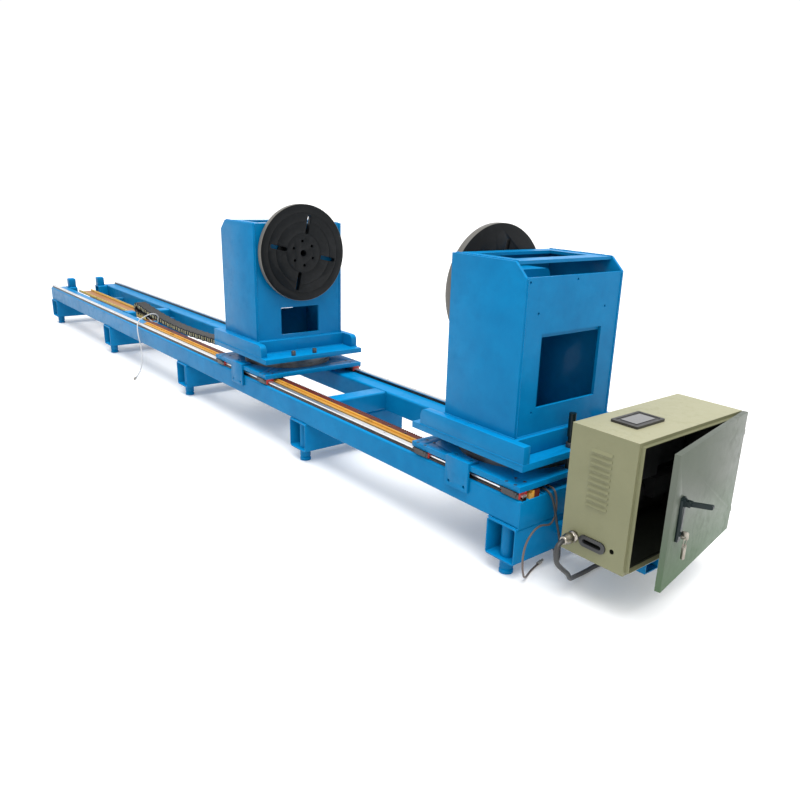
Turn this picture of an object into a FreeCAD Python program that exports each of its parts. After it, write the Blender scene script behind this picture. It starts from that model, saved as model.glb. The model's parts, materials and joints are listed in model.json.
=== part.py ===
import FreeCAD, Part
import math
import os

V = FreeCAD.Vector

# Bed frame. X runs along the bed with 0 at its cabinet end, Y runs in from the operator's side,
# Z runs up from the floor. The part's own origin is under the first levelling foot.
bed_length = 6000.0
bed_width = 612.0
side_w = 134.0
side_h = 110.0
tube_wall = 6.0
tube_corner = 12.0
foot_count = 5
foot_w = 150.0
foot_h = 150.0
foot_over = 8.0
floor_gap = 65.0
cross_w = 100.0
cross_h = 100.0
middle_cross_x = -1478.0
split_cross_x = -4421.0
split_gap = (204.0, 392.0)

# Levelling feet
pad_r = 28.0
pad_h = 20.0
screw_r = 15.0
sleeve_r = 27.0
sleeve_bore_r = 15.05
pad_inset = 46.0

# Guide rails, guide blocks, gear rack and its locating bar
rail_w = 23.0
rail_h = 22.0
rail_y = 24.0
rail_hole_pitch = 240.0
block_len = 84.0
block_w = 48.0
block_flange_w = 70.0
block_flange_t = 10.0
stack_h = 36.0
block_holes = (45.0, 57.0)
rail_play = 0.05
bar_y = (50.0, 66.0)
bar_h = 20.0
rack_y0 = 66.0
rack_len = 3790.0
rack_body_w = 38.75
rack_h = 28.0
gear_module = 5.0
pinion_teeth = 20

# Carriages
plate_len = 612.0
plate_over = 4.0
plate_t = 22.0
tail_x = -306.5
head_x = -2167.0
block_inset = 52.0
clamp_w = 130.0
clamp_face_h = 114.0
clamp_top_d = 48.0
clamp_t = 10.0
motor_gap = 11.45
motor_r = 43.0
motor_h = 50.0

# Slewing ring
ring_r = 245.0
ring_split_r = 200.0
ring_bore_r = 155.0
ring_gap = 59.0
ring_play = 0.05
ring_lift = 6.0

# Index bolt of the tail turntable, its place seen from the slewing axis
post_u = -276.0
post_v = -12.0
post_r = 10.0
post_grip_r = 14.0

# Turntable tray and welded housing; u points to the other faceplate
tray = 620.0
tray_t = 26.0
side_bar_w = 35.0
side_bar_h = 69.0
side_bar_end_u = 261.0
rib_t = 20.0
house_front_u = 151.0
house_back_u = -226.0
house_h = 694.0
sheet_t = 12.0
chamfer_u = 54.0
chamfer_z = 51.0
front_window = (242.0, 92.0, 242.0)
back_window = (340.0, 168.0, 441.0)

# Spindle and faceplate
axis_drop = 155.0
disc_r = 258.0
disc_t = 30.0
disc_back_u = 168.0
disc_bore_r = 18.0
bore_depth = 95.0
bolt_ring_r = 65.0
bolt_hole_r = 8.0
slot_w = 21.0
slot_r = (102.0, 204.0)
slot_turn = 12.5
groove_radii = (104.6, 166.0, 214.0)
spindle_r = 45.0
spindle_flange_r = 85.0
bearing_flange_t = 12.0
bearing_r = 135.0
bearing_body_r = 105.0
play = 0.05

# Drag chain and its tray
chain_w = 85.0
link_h = 40.0
link_pitch = 50.0
link_side_t = 5.0
upper_links = 40
chain_bend_r = 34.0
chain_y = 292.0
chain_bend_x = -4508.0
lower_links = 4
chain_sag_x = -3650.0
chain_sag_z = 302.0
chain_end_z = 341.0
chain_floor_z = 272.0
channel_y = (236.0, 348.0)
channel_t = 3.0
channel_h = 40.0
tie_inset = (500.0, 20.4)

# Control cabinet
cab_x = (142.0, 409.0)
cab_y = (76.0, 719.0)
cab_z = (185.0, 656.0)
cab_t = 2.5
rim_inset = 12.0
rim_depth = 14.0
lip_depth = 14.0
lip_reach = 20.0
arm_h = 40.0
arm_w = 80.0
arm_y = (215.0, 545.0)
door_t = 20.0
door_gap = 2.0
door_open = 10.2
hinge_r = 7.0
hmi_x = (210.0, 320.0)
hmi_y = (188.0, 354.0)
hmi_t = 9.0
louvre_x = (234.0, 316.0)
louvre_top_z = 586.0
louvre_pitch = 21.5
louvre_count = 10
gland_x = 197.0
gland_z = 250.0
gland_bore_y = 46.0
grommet_x = (221.0, 331.0)
grommet_z = 250.0
grommet_h = 42.0
lock_from_edge = 72.0
lock_z = 482.0
lock_drop = 60.0
key_drop = 110.0
lock_len = 154.0
lever_len = 77.0
lever_tilt = 8.0
lock_w = 34.0
cam_reach = 42.0
cam_len = 62.0

# Cords, with the radius of each, and the coil and plug of the supply lead
lead_r = 9.0
cable_r = 5.0
hose_r = 4.0
coil_r = 150.0
coil_core_r = 96.0
coil_h = 54.0
plug_r = 23.5
coil_centre = (29.0, 900.0)
clip_x = -52.0
clip_len = 24.0

# Worked out from the values above
foot_top = floor_gap + foot_h
bed_top = foot_top + side_h
plate_z = bed_top + stack_h
plate_top = plate_z + plate_t
tray_z = plate_top + ring_gap
tray_top = tray_z + tray_t
house_top = tray_top + house_h
axis_z = house_top - axis_drop
plate_wide = bed_width + 2 * plate_over
mid_y = bed_width / 2
foot_pitch = (bed_length - foot_w) / (foot_count - 1)
house_half = tray / 2 - side_bar_w
pitch_r = gear_module * pinion_teeth / 2
rack_line_y = rack_y0 + rack_body_w + 1.25 * gear_module
pinion_y = rack_line_y + pitch_r
motor_u = -math.sqrt((ring_r + motor_r + motor_gap) ** 2 - (mid_y - pinion_y) ** 2)
origin = V(-foot_w / 2, -foot_over + pad_inset, 0)


def box(x0, y0, z0, x1, y1, z1):
    """Block between two corners."""
    return Part.makeBox(x1 - x0, y1 - y0, z1 - z0, V(x0, y0, z0))


def rod(x, y, z, r, length, axis=V(0, 0, 1)):
    """Cylinder from a point along an axis."""
    return Part.makeCylinder(r, length, V(x, y, z), axis)


def ring(x, y, z, r_out, r_in, length, axis=V(0, 0, 1)):
    """Hollow cylinder from a point along an axis."""
    return rod(x, y, z, r_out, length, axis).cut(rod(x, y, z, r_in, length, axis))


def prism(points, way):
    """Flat outline pushed along a vector."""
    closed = points + [points[0]]
    return Part.Face(Part.makePolygon(closed)).extrude(way)


def rounded_bar(x0, y0, z0, x1, y1, z1, r, along):
    """Block with its four edges along one axis rounded."""
    body = box(x0, y0, z0, x1, y1, z1)
    edges = [e for e in body.Edges if abs(e.tangentAt(0).dot(along)) > 0.99]
    return body.makeFillet(r, edges)


def square_tube(x0, y0, z0, x1, y1, z1, along):
    """Open hollow section with rounded corners along X or Y."""
    w = tube_wall
    outer = rounded_bar(x0, y0, z0, x1, y1, z1, tube_corner, along)
    if along.x:
        inner = rounded_bar(x0, y0 + w, z0 + w, x1, y1 - w, z1 - w, tube_corner - w, along)
    else:
        inner = rounded_bar(x0 + w, y0, z0 + w, x1 - w, y1, z1 - w, tube_corner - w, along)
    return outer.cut(inner)


def save(name, solids):
    """Write one sub-part, moved so that the origin lies under the first levelling foot."""
    moved = [s.translated(-origin) for s in solids]
    shape = moved[0] if len(moved) == 1 else Part.makeCompound(moved)
    for number, solid in enumerate(shape.Solids):
        if not solid.isValid():
            print("not valid:", name, number)
    if len(shape.Solids) != len(solids):
        print("solids differ:", name, len(shape.Solids), len(solids))
    shape.exportStep("parts/" + name + ".step")


def foot_x(index):
    """Middle of a foot beam, counted from the cabinet end."""
    return -foot_w / 2 - index * foot_pitch


def pad_places():
    """Middle of every levelling foot."""
    near = -foot_over + pad_inset
    far = bed_width + foot_over - pad_inset
    return [(foot_x(i), y) for i in range(foot_count) for y in (near, far)]


def side_tubes():
    """Two long hollow sections that carry the guide rails."""
    x = V(1, 0, 0)
    front = square_tube(-bed_length, 0, foot_top, 0, side_w, bed_top, x)
    rear = square_tube(-bed_length, bed_width - side_w, foot_top, 0, bed_width, bed_top, x)
    return [front, rear]


def cross_tubes():
    """Hollow sections between the side tubes, two of them split where the chain tray passes."""
    y = V(0, 1, 0)
    z0 = bed_top - cross_h
    y0, y1 = side_w, bed_width - side_w
    whole = [(-cross_w, y0, y1), (middle_cross_x - cross_w / 2, y0, y1)]
    for x in (split_cross_x - cross_w / 2, -bed_length):
        whole.append((x, y0, split_gap[0]))
        whole.append((x, split_gap[1], y1))
    return [square_tube(x, a, z0, x + cross_w, b, bed_top, y) for x, a, b in whole]


def foot_beams():
    """Five cross beams under the bed, each with a screw hole near both ends."""
    beams = []
    for i in range(foot_count):
        x0 = foot_x(i) - foot_w / 2
        far = bed_width + foot_over
        beam = square_tube(x0, -foot_over, floor_gap, x0 + foot_w, far, foot_top, V(0, 1, 0))
        for x, y in pad_places()[2 * i:2 * i + 2]:
            beam = beam.cut(rod(x, y, floor_gap - 1, screw_r + 2, tube_wall + 2))
        beams.append(beam)
    return beams


def levelling_sleeves():
    """Threaded sleeves welded inside the foot beams."""
    height = foot_h - 2 * tube_wall
    return [ring(x, y, floor_gap + tube_wall, sleeve_r, sleeve_bore_r, height) for x, y in pad_places()]


def levelling_feet():
    """Screws with a round pad that stand on the floor."""
    feet = []
    for x, y in pad_places():
        pad = rod(x, y, 0, pad_r, pad_h * 0.6).fuse(
            Part.makeCone(pad_r, screw_r + 4, pad_h * 0.4, V(x, y, pad_h * 0.6)))
        feet.append(pad.fuse(rod(x, y, pad_h, screw_r, floor_gap + 80 - pad_h)).removeSplitter())
    return feet


def stop_posts():
    """End stops that stand on the two stubs at the far end."""
    posts = []
    for y0 in (split_gap[0] - 64, split_gap[1] + 4):
        post = box(-bed_length + 20, y0, bed_top, -bed_length + 80, y0 + 60, bed_top + 80)
        edges = [e for e in post.Edges if e.Vertexes[0].Z > bed_top + 79 and e.Vertexes[1].Z > bed_top + 79]
        posts.append(post.makeChamfer(8, edges))
    return posts


def guide_rail(y):
    """Profiled rail with running grooves and countersunk screw holes."""
    h, w = rail_h, rail_w / 2
    neck = w - 3.0
    half = [(w, 0), (w, 7), (neck, 10), (neck, 13), (w, 16), (w, h - 1), (w - 1, h)]
    profile = [V(-bed_length, y + a, bed_top + b) for a, b in half]
    profile += [V(-bed_length, y - a, bed_top + b) for a, b in reversed(half)]
    rail = prism(profile, V(bed_length, 0, 0))
    count = int(bed_length // rail_hole_pitch)
    holes = [rod(-rail_hole_pitch * (i + 0.5), y, bed_top, 4.5, rail_h) for i in range(count)]
    return rail.cut(Part.makeCompound(holes))


def gear_rack():
    """Toothed rack; the teeth face the middle of the bed."""
    step = math.pi * gear_module
    count = int(rack_len // step) - 1
    root_y = rack_y0 + rack_body_w
    tip_y = root_y + 2.25 * gear_module
    slope = math.tan(math.radians(20))
    root_half = step / 4 + 1.25 * gear_module * slope
    tip_half = step / 4 - gear_module * slope
    points = [V(0, rack_y0, bed_top), V(0, root_y, bed_top)]
    for i in range(count):
        x = rack_phase_x() - (i - tooth_shift()) * step
        points += [V(x + root_half, root_y, bed_top), V(x + tip_half, tip_y, bed_top),
                   V(x - tip_half, tip_y, bed_top), V(x - root_half, root_y, bed_top)]
    points += [V(-rack_len, root_y, bed_top), V(-rack_len, rack_y0, bed_top)]
    return prism(points, V(0, 0, rack_h))


def tooth_shift():
    """Rack teeth between the cabinet end and the tail pinion."""
    return int(-rack_phase_x() / (math.pi * gear_module) - 0.6)


def rack_phase_x():
    """Rack tooth that stands in a gap of the tail pinion."""
    return pinion_x("tail")


def pinion_x(side):
    """Pinion axis of a carriage; the two stand a whole number of rack teeth apart."""
    tail = tail_x + motor_u
    if side == "tail":
        return tail
    step = math.pi * gear_module
    return tail - round((tail_x - head_x) / step) * step


def pinion(side):
    """Spur gear on a stub shaft with straight-flanked teeth, thinned for running clearance."""
    x = pinion_x(side)
    z0 = bed_top + 3
    thick = rack_h - 3
    tip = pitch_r + gear_module - 0.25
    root = pitch_r - 1.25 * gear_module
    turn = 2 * math.pi / pinion_teeth
    # The tooth nearest the rack sits half a step off the rack tooth
    start = -math.pi / 2 + turn / 2
    points = []
    for i in range(pinion_teeth):
        a = start + i * turn
        for r, half in ((root, 0.30), (pitch_r, 0.215), (tip, 0.10)):
            points.append(V(x + r * math.cos(a - half * turn), pinion_y + r * math.sin(a - half * turn), z0))
        for r, half in ((tip, 0.10), (pitch_r, 0.215), (root, 0.30)):
            points.append(V(x + r * math.cos(a + half * turn), pinion_y + r * math.sin(a + half * turn), z0))
    gear = prism(points, V(0, 0, thick))
    shaft = rod(x, pinion_y, z0 - 2, 12, plate_top + 30 - z0 + 2)
    return gear.fuse(shaft).removeSplitter()


def carriage_plate(side, cx):
    """Thick plate on the guide blocks."""
    half = plate_len / 2
    y0 = mid_y - plate_wide / 2
    plate = box(cx - half, y0, plate_z, cx + half, y0 + plate_wide, plate_top)
    cuts = [rod(cx, mid_y, plate_z, 60, plate_t), rod(pinion_x(side), pinion_y, plate_z, 12 + play, plate_t)]
    for bx, by in block_places(cx):
        for dx in (-block_holes[0] / 2, block_holes[0] / 2):
            for dy in (-block_holes[1] / 2, block_holes[1] / 2):
                cuts.append(rod(bx + dx, by + dy, plate_z, 4.5, plate_t))
    if side == "tail":
        cuts += post_holes(cx, plate_z, plate_t, (0, 90, 180), post_r + 0.5)
    return plate.cut(Part.makeCompound(cuts))


def block_places(cx):
    """Middle of the four guide blocks of a carriage."""
    run = plate_len / 2 - block_inset
    return [(cx + sx * run, y) for sx in (-1, 1) for y in (rail_y, bed_width - rail_y)]


def guide_block(cx, cy):
    """Flanged block that grips the rail, with thinner end caps."""
    z0, z1 = bed_top + 6.5, plate_z
    cap = 12.0
    half = block_len / 2
    slot_half = rail_w / 2 + rail_play

    def section(narrow, x0, length):
        w, f = block_w / 2 - narrow, block_flange_w / 2 - narrow
        zf = z1 - block_flange_t
        top = z1 - narrow
        outline = [(-w, z0), (-w, zf), (-f, zf), (-f, top), (f, top), (f, zf), (w, zf), (w, z0)]
        return prism([V(x0, cy + a, b) for a, b in outline], V(length, 0, 0))

    body = section(0, cx - half + cap, block_len - 2 * cap)
    for x0 in (cx - half, cx + half - cap):
        body = body.fuse(section(1.5, x0, cap))
    slot = box(cx - half, cy - slot_half, z0 - 1, cx + half, cy + slot_half, bed_top + rail_h + 0.5)
    key_half = slot_half - 2.6
    keys = []
    for s in (-1, 1):
        y0, y1 = sorted((cy + s * key_half, cy + s * (slot_half + 0.2)))
        keys.append(box(cx - half, y0, bed_top + 10.4, cx + half, y1, bed_top + 12.6))
    body = body.cut(slot)
    for key in keys:
        body = body.fuse(key)
    for dx in (-block_holes[0] / 2, block_holes[0] / 2):
        for dy in (-block_holes[1] / 2, block_holes[1] / 2):
            body = body.cut(rod(cx + dx, cy + dy, z1 - block_flange_t, 4.2, block_flange_t))
    return body.removeSplitter()


def clamp_bracket(cx):
    """Angle plate on the front edge of a carriage, with two bolts on top and two holes in its face."""
    y0 = mid_y - plate_wide / 2
    x0, x1 = cx - 20 - clamp_w / 2, cx - 20 + clamp_w / 2
    low = plate_top - clamp_face_h
    face = box(x0, y0 - clamp_t, low, x1, y0, plate_top + clamp_t)
    top = box(x0, y0, plate_top, x1, y0 + clamp_top_d, plate_top + clamp_t)
    bracket = face.fuse(top)
    for dx in (-43.0, 43.0):
        bracket = bracket.cut(rod(cx - 20 + dx, y0 - clamp_t - 1, low + 20, 7, clamp_t + 2, V(0, 1, 0)))
        bracket = bracket.cut(rod(cx - 20 + dx, y0 + 28, plate_top - 1, 7, clamp_t + 2))
    return bracket.removeSplitter()


def travel_motor(side):
    """Flat gearmotor on the carriage plate that drives the pinion."""
    x = pinion_x(side)
    foot = rod(x, pinion_y, plate_top, motor_r, 14)
    body = foot.fuse(rod(x, pinion_y, plate_top + 14, motor_r - 3, motor_h - 14))
    return body.cut(rod(x, pinion_y, plate_top - 1, 12 + play, 31 + play)).removeSplitter()


def slew_outer(cx):
    """Fixed race of the slewing ring, bolted to the carriage."""
    z0 = plate_top
    height = ring_gap - ring_lift
    race = ring(cx, mid_y, z0, ring_r, ring_split_r + ring_play, height)
    groove = ring(cx, mid_y, z0 + height / 2 - 7, ring_r + 1, ring_r - 4, 14)
    return drill_ring(race.cut(groove), cx, z0, ring_r - 14, 12, height)


def slew_inner(cx):
    """Turning race of the slewing ring, bolted to the tray."""
    z0 = plate_top + ring_lift
    height = ring_gap - ring_lift
    race = ring(cx, mid_y, z0, ring_split_r, ring_bore_r, height)
    return drill_ring(race, cx, z0, ring_bore_r + 16, 12, height)


def drill_ring(shape, cx, z0, r, count, depth):
    """Bolt circle through a race."""
    holes = []
    for i in range(count):
        a = 2 * math.pi * (i + 0.5) / count
        holes.append(rod(cx + r * math.cos(a), mid_y + r * math.sin(a), z0, 6, depth))
    return shape.cut(Part.makeCompound(holes))


def ubox(cx, way, u0, v0, z0, u1, v1, z1):
    """Block in turntable terms: u towards the other faceplate, v across the bed."""
    xa, xb = sorted((cx + way * u0, cx + way * u1))
    return box(xa, mid_y + v0, z0, xb, mid_y + v1, z1)


def tray_plate(cx, way):
    """Square plate on the slewing ring."""
    h = tray / 2
    plate = ubox(cx, way, -h, -h, tray_z, h, h, tray_top)
    plate = plate.cut(rod(cx, mid_y, tray_z, 70, tray_t))
    if way < 0:
        plate = plate.cut(post_holes(cx, tray_z, tray_t, (0,), post_r + play)[0])
    return drill_ring(plate, cx, tray_z, ring_bore_r + 16, 12, tray_t)


def tray_bars(cx, way):
    """Two side bars rounded at the free end, and a cross rib before and behind the housing."""
    h = tray / 2
    z1 = tray_top + side_bar_h
    parts = []
    for s in (-1, 1):
        v0, v1 = sorted((s * h, s * house_half))
        bar = ubox(cx, way, -h, v0, tray_top, side_bar_end_u, v1, z1)
        end_x = cx + way * side_bar_end_u
        edges = [e for e in bar.Edges if abs(e.CenterOfMass.x - end_x) < 1 and abs(e.CenterOfMass.z - z1) < 1]
        parts.append(bar.makeFillet(30, edges))
    for u0 in (house_front_u, house_back_u - rib_t):
        parts.append(ubox(cx, way, u0, -house_half, tray_top, u0 + rib_t, house_half, z1))
    return parts


def housing_sides(cx, way):
    """Two side plates with a sloped rear top corner."""
    sides = []
    for v0 in (-house_half, house_half - sheet_t):
        outline = [(house_back_u, tray_top), (house_front_u, tray_top), (house_front_u, house_top),
                   (house_back_u + chamfer_u, house_top), (house_back_u, house_top - chamfer_z)]
        points = [V(cx + way * u, mid_y + v0, z) for u, z in outline]
        sides.append(prism(points, V(0, sheet_t, 0)))
    return sides


def housing_ends(cx, way):
    """Front plate with the bearing seat and a low window, and rear plate with a large window."""
    inner = house_half - sheet_t
    front = ubox(cx, way, house_front_u - sheet_t, -inner, tray_top, house_front_u, inner, house_top)
    w, low, tall = front_window[0] / 2, front_window[1], front_window[2] - front_window[1]
    front = front.cut(ubox(cx, way, house_front_u - sheet_t - 1, -w, tray_top + low,
                           house_front_u + 1, w, tray_top + low + tall))
    front = front.cut(rod(cx + way * (house_front_u - sheet_t - 1), mid_y, axis_z, bearing_body_r + play,
                          sheet_t + 2, V(way, 0, 0)))
    back = ubox(cx, way, house_back_u, -inner, tray_top, house_back_u + sheet_t, inner, house_top - chamfer_z)
    w, low, tall = back_window[0] / 2, back_window[1], back_window[2] - back_window[1]
    back = back.cut(ubox(cx, way, house_back_u - 1, -w, tray_top + low,
                         house_back_u + sheet_t + 1, w, tray_top + low + tall))
    for v, z in ((-249.0, 1095.0), (4.0, 1095.0), (-196.0, 985.0), (179.0, 985.0), (-193.0, 622.0)):
        back = back.cut(rod(cx + way * (house_back_u - 1), mid_y + v, z, 5, sheet_t + 2, V(way, 0, 0)))
    return [front, back]


def housing_top(cx, way):
    """Open frame that closes the top of the housing."""
    inner = house_half - sheet_t
    u0, u1 = house_back_u + chamfer_u, house_front_u - sheet_t
    z0 = house_top - sheet_t
    frame = ubox(cx, way, u0, -inner, z0, u1, inner, house_top)
    return frame.cut(ubox(cx, way, u0 + 70, -inner + 60, z0 - 1, u1 - 50, inner - 60, house_top + 1))


def bearing_housing(cx, way):
    """Flanged bearing unit in the front plate."""
    axis = V(way, 0, 0)
    flange = rod(cx + way * house_front_u, mid_y, axis_z, bearing_r, bearing_flange_t, axis)
    body = rod(cx + way * (house_front_u - 60), mid_y, axis_z, bearing_body_r, 60, axis)
    bore = rod(cx + way * (house_front_u - 61), mid_y, axis_z, spindle_r + play, 90, axis)
    unit = flange.fuse(body).cut(bore)
    for i in range(8):
        a = 2 * math.pi * (i + 0.5) / 8
        y, z = mid_y + 119 * math.cos(a), axis_z + 119 * math.sin(a)
        unit = unit.cut(rod(cx + way * (house_front_u - 1), y, z, 6, 30, axis))
    return unit.removeSplitter()


def spindle_motor(cx, way):
    """Square reducer with a hollow bore, and the round motor behind it."""
    axis = V(way, 0, 0)
    u1 = house_front_u - 60
    box_half = 100.0
    reducer = ubox(cx, way, u1 - 100, -box_half, axis_z - box_half, u1, box_half, axis_z + box_half)
    edges = [e for e in reducer.Edges if abs(e.tangentAt(0).dot(axis)) > 0.99]
    reducer = reducer.makeFillet(25, edges)
    motor = rod(cx + way * (u1 - 100), mid_y - 20, axis_z, 70, 150, V(-way, 0, 0))
    cap = rod(cx + way * (u1 - 250), mid_y - 20, axis_z, 62, 18, V(-way, 0, 0))
    unit = reducer.fuse(motor).fuse(cap)
    return unit.cut(rod(cx + way * (u1 - 80), mid_y, axis_z, spindle_r + play, 81, axis)).removeSplitter()


def motor_shelf(cx, way):
    """Shelf plate inside the housing below the motor, on two ears."""
    z0 = axis_z - 100 - sheet_t
    inner = house_half - sheet_t
    shelf = ubox(cx, way, house_back_u + sheet_t, -inner, z0, house_front_u - 62, inner, z0 + sheet_t)
    return shelf.cut(ubox(cx, way, -70, -200, z0 - 1, 60, -130, z0 + sheet_t + 1))


def faceplate(cx, way):
    """Round table with four radial slots, three turned grooves, a bolt ring and a centre bore."""
    axis = V(way, 0, 0)
    x0 = cx + way * disc_back_u
    front = x0 + way * disc_t
    disc = rod(x0, mid_y, axis_z, disc_r, disc_t, axis)
    cuts = [rod(x0 - way, mid_y, axis_z, disc_bore_r, disc_t + 2, axis)]
    for r in groove_radii:
        cuts.append(ring(front + way, mid_y, axis_z, r + 1.2, r - 1.2, 2.5, -axis))
    for y, z in bolt_ring_places():
        cuts.append(rod(x0 - way, y, z, bolt_hole_r, disc_t + 2, axis))
    for i in range(4):
        cut = radial_slot(min(x0, front) - 1, disc_t + 2)
        cut.rotate(V(x0, mid_y, axis_z), V(1, 0, 0), 90 * i - slot_turn)
        cuts.append(cut)
    for cut in cuts:
        disc = disc.cut(cut)
    return disc


def bolt_ring_places():
    """Middle of the six flange bolts in the plane of the faceplate."""
    turns = [math.radians(slot_turn + 22 + 60 * i) for i in range(6)]
    return [(mid_y + bolt_ring_r * math.cos(a), axis_z + bolt_ring_r * math.sin(a)) for a in turns]


def radial_slot(x0, depth):
    """Slot with round ends along Z above the axis."""
    r = slot_w / 2
    low, high = slot_r[0] + r, slot_r[1] - r
    cut = box(x0, mid_y - r, axis_z + low, x0 + depth, mid_y + r, axis_z + high)
    for z in (low, high):
        cut = cut.fuse(rod(x0, mid_y, axis_z + z, r, depth, V(1, 0, 0)))
    return cut


def spindle(cx, way):
    """Shaft with a flange that carries the faceplate."""
    axis = V(way, 0, 0)
    flange_u = house_front_u + bearing_flange_t + 0.3
    back_u = house_front_u - 138
    shaft = rod(cx + way * back_u, mid_y, axis_z, spindle_r, disc_back_u - back_u, axis)
    flange = rod(cx + way * flange_u, mid_y, axis_z, spindle_flange_r, disc_back_u - flange_u, axis)
    body = shaft.fuse(flange)
    for y, z in bolt_ring_places():
        body = body.cut(rod(cx + way * (flange_u - 1), y, z, bolt_hole_r, 20, axis))
    bore = rod(cx + way * (disc_back_u + disc_t - bore_depth), mid_y, axis_z, disc_bore_r, bore_depth, axis)
    return body.cut(bore).removeSplitter()


def lock_post():
    """Tall index bolt with a round grip, at the rear ledge of the tail tray."""
    x, y = tail_x - post_u, mid_y + post_v
    body = rod(x, y, plate_top + 2, post_r, tray_top + 112 - plate_top)
    return body.fuse(rod(x, y, tray_top + 44.3, post_grip_r, 92)).removeSplitter()


def lock_bush():
    """Bush on the tail tray in which the index bolt slides."""
    x, y = tail_x - post_u, mid_y + post_v
    return ring(x, y, tray_top, post_grip_r + 2, post_r + play, 20)


def post_holes(cx, bottom, depth, angles, r):
    """Bores for the index bolt at the given turns of the tray."""
    holes = []
    reach = math.hypot(post_u, post_v)
    start = math.atan2(post_v, -post_u)
    for turn in angles:
        a = start + math.radians(turn)
        holes.append(rod(cx + reach * math.cos(a), mid_y + reach * math.sin(a), bottom, r, depth))
    return holes


def head_tray_bolts():
    """Two socket bolts on the front ledge of the head tray."""
    bolts = []
    for v in (-124.0, 10.0):
        x, y = head_x + 281, mid_y + v
        bolt = rod(x, y, tray_top, 12, 26).cut(Part.makeCylinder(6, 12, V(x, y, tray_top + 15)))
        bolts.append(bolt)
    return bolts


def chain_bracket():
    """Angle that carries the moving end of the drag chain at the carriage's edge."""
    x1 = head_x - plate_len / 2
    y0, y1 = chain_y - chain_w / 2, chain_y + chain_w / 2
    top = chain_end_z + link_h / 2
    shelf = box(x1 - 70, y0, top, x1, y1, top + 5)
    return shelf.fuse(box(x1 - 8, y0, top, x1, y1, plate_top)).removeSplitter()


def chain_run_z(x):
    """Height of the upper run's pins: high at the bend, resting low, and high again at the carriage."""
    start = chain_floor_z + link_h / 2 + 2 * chain_bend_r
    if x < chain_sag_x:
        share = (chain_sag_x - x) / (chain_sag_x - chain_bend_x)
        return chain_sag_z + (start - chain_sag_z) * share ** 2
    share = (x - chain_sag_x) / (head_x - plate_len / 2 - 40 - chain_sag_x)
    return chain_sag_z + (chain_end_z - chain_sag_z) * share * share * (3 - 2 * share)


def chain_link(start, end, inside):
    """One link between two pins: two side plates joined by two crossbars; every second one fits inside."""
    t = link_side_t
    h = link_h / 2
    outer = chain_w / 2 - (t + 0.3 if inside else 0)
    half = link_pitch / 2 + 9
    outline = [(-half, -h + 9), (-half, h - 9), (-half + 9, h), (half - 9, h),
               (half, h - 9), (half, -h + 9), (half - 9, -h), (-half + 9, -h)]
    parts = []
    for y0 in (-outer, outer - t):
        parts.append(prism([V(x, y0, z) for x, z in outline], V(0, t, 0)))
    for z0 in (-h + 4, h - 9):
        parts.append(Part.makeBox(7, 2 * (outer - t), 5, V(-3.5, -outer + t, z0)))
    link = parts[0].fuse(parts[1:])
    link.rotate(V(0, 0, 0), V(0, 1, 0), -math.degrees(math.atan2(end[1] - start[1], end[0] - start[0])))
    return link.translated(V((start[0] + end[0]) / 2, chain_y, (start[1] + end[1]) / 2))


def chain_pins():
    """Pin places, from the carriage along the upper run, round the bend and along the lower run."""
    x = head_x - plate_len / 2 - 40
    pins = [(x, chain_run_z(x))]
    for _ in range(upper_links):
        slope = (chain_run_z(x) - chain_run_z(x - link_pitch)) / link_pitch
        x -= link_pitch / math.hypot(1, slope)
        pins.append((x, chain_run_z(x)))
    low = chain_floor_z + link_h / 2
    rise = (pins[-1][1] - low) / 2
    pins.append((x - math.sqrt(link_pitch ** 2 - rise ** 2), low + rise))
    for i in range(lower_links + 1):
        pins.append((x + i * link_pitch, low))
    return pins


def drag_chain():
    """Links along the sagging upper run, round the bend and along the short lower run."""
    pins = chain_pins()
    return [chain_link(pins[i], pins[i + 1], i % 2 == 1) for i in range(len(pins) - 1)]


def chain_tray():
    """Sheet channel in which the drag chain lies, on two ties to the side tubes."""
    y0, y1 = channel_y
    z1 = chain_floor_z
    x0, x1 = -bed_length + 10, chain_pins()[-1][0] + 40
    floor = box(x0, y0, z1 - channel_t, x1, y1, z1)
    for y in (y0, y1 - channel_t):
        floor = floor.fuse(box(x0, y, z1, x1, y + channel_t, z1 + channel_h * 0.5))
    return floor.removeSplitter()


def tray_ties():
    """Angle ties that hold the chain tray between the side tubes."""
    ties = []
    far = -bed_length + tie_inset[0]
    near = chain_pins()[-1][0] - tie_inset[1]
    z1 = chain_floor_z - channel_t
    for x in (far, (far + near) / 2, near):
        ties.append(box(x, side_w, z1 - 8, x + 50, bed_width - side_w, z1))
    return ties


def cabinet_arms():
    """Two hollow arms from the end foot beam that carry the cabinet."""
    arms = []
    z1 = cab_z[0]
    for y in arm_y:
        outer = box(0, y, z1 - arm_h, cab_x[1], y + arm_w, z1)
        arms.append(outer.cut(box(-1, y + 4, z1 - arm_h + 4, cab_x[1] + 1, y + arm_w - 4, z1 - 4)))
    return arms


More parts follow.
